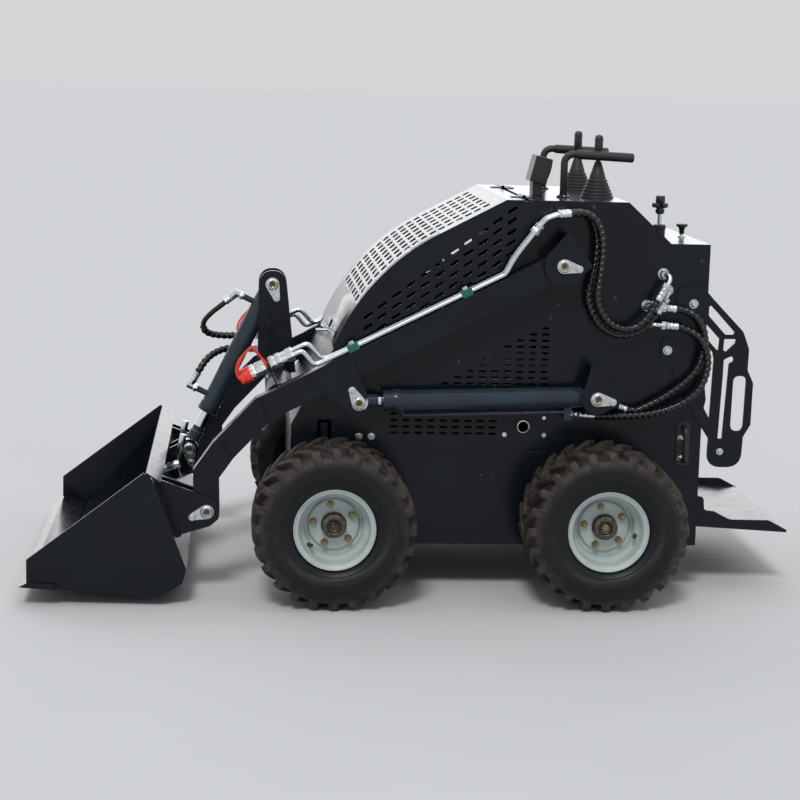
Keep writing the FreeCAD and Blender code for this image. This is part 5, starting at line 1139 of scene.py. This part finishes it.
def make_world(scene):
    """Pale world: the floor's own shade to the camera, brighter in reflections, softer as a lamp."""
    world = bpy.data.worlds.new("studio")
    scene.world = world
    world.use_nodes = True
    tree = world.node_tree
    tree.nodes.clear()
    path = add(tree, "ShaderNodeLightPath").outputs
    mirrored = maths(tree, "MAXIMUM", path["Is Glossy Ray"], path["Is Transmission Ray"])
    level = add(tree, "ShaderNodeMapRange", {"Value": mirrored, "To Min": 0.5, "To Max": 0.95})
    sky = add(tree, "ShaderNodeBackground", {"Color": linear("#f0f3f7"),
                                             "Strength": level.outputs["Result"]})
    backdrop = add(tree, "ShaderNodeBackground", {"Color": linear(BACKDROP), "Strength": 1.0})
    seen = add(tree, "ShaderNodeMixShader", {"Fac": path["Is Camera Ray"]})
    tree.links.new(sky.outputs["Background"], seen.inputs[1])
    tree.links.new(backdrop.outputs["Background"], seen.inputs[2])
    add(tree, "ShaderNodeOutputWorld", {"Surface": seen.outputs["Shader"]})


def make_lamps():
    """Wide soft lamps without falloff: an overcast sky, a bright far side and a near-side fill."""
    # columns: name, bearing and height of the lamp in degrees, its width in degrees, strength
    table = (("overcast", 70, 70, 70, 0.5), ("far_side", 98, 22, 64, 0.6),
             ("near_side", -104, 50, 14, 1.3))
    for name, bearing, height, width, strength in table:
        light = bpy.data.lights.new(name, "SUN")
        light.angle = math.radians(width)
        light.energy = strength
        lamp = bpy.data.objects.new(name, light)
        bearing, height = math.radians(bearing), math.radians(height)
        towards = Vector((math.cos(bearing) * math.cos(height), math.sin(bearing) * math.cos(height),
                          math.sin(height)))
        lamp.rotation_euler = towards.to_track_quat("Z", "Y").to_euler()
        bpy.context.scene.collection.objects.link(lamp)


def make_camera(scene):
    """Camera at the photograph's place, from its yaw, pitch and roll."""
    yaw, pitch, roll = (math.radians(a) for a in (CAMERA_YAW, CAMERA_PITCH, CAMERA_ROLL))
    forward = Vector((math.sin(yaw) * math.cos(pitch), math.cos(yaw) * math.cos(pitch),
                      -math.sin(pitch)))
    right = Vector((math.cos(yaw), -math.sin(yaw), 0.0))
    up = right.cross(forward)
    across = right * math.cos(roll) + up * math.sin(roll)
    above = up * math.cos(roll) - right * math.sin(roll)
    data = bpy.data.cameras.new("camera")
    data.sensor_width = 36.0
    data.lens = CAMERA_LENS
    camera = bpy.data.objects.new("camera", data)
    camera.matrix_world = Matrix.Translation(CAMERA_PLACE) @ Matrix(
        (across, above, -forward)).transposed().to_4x4()
    scene.collection.objects.link(camera)
    scene.camera = camera


class LOADER_PT_panel(bpy.types.Panel):
    """Lists the loader's sizes, colours and building steps."""
    bl_label = "Loader"
    bl_idname = "LOADER_PT_panel"
    bl_space_type = "VIEW_3D"
    bl_region_type = "UI"
    bl_category = "Loader"

    def draw(self, context):
        for settings in (context.scene.loader_paint, context.scene.loader_size):
            for name in settings.__annotations__:
                self.layout.prop(settings, name)
        for operator in OPERATORS:
            self.layout.operator(operator.bl_idname)


SETTINGS = (LoaderPaintSettings, LoaderSizeSettings)
OPERATORS = (LOADER_OT_finishes, LOADER_OT_wheels, LOADER_OT_hoses, LOADER_OT_hydraulics,
             LOADER_OT_fasteners, LOADER_OT_cylinders, LOADER_OT_controls, LOADER_OT_stage)


def register():
    """Register the settings, operators and panel."""
    for item in SETTINGS + OPERATORS + (LOADER_PT_panel,):
        bpy.utils.register_class(item)
    bpy.types.Scene.loader_paint = PointerProperty(type=LoaderPaintSettings)
    bpy.types.Scene.loader_size = PointerProperty(type=LoaderSizeSettings)


def unregister():
    """Undo register."""
    del bpy.types.Scene.loader_size
    del bpy.types.Scene.loader_paint
    for item in reversed(SETTINGS + OPERATORS + (LOADER_PT_panel,)):
        bpy.utils.unregister_class(item)


def main():
    """Build every piece in order."""
    register()
    for operator in OPERATORS:
        group, name = operator.bl_idname.split(".")
        getattr(getattr(bpy.ops, group), name)()


if __name__ == "__main__":
    main()
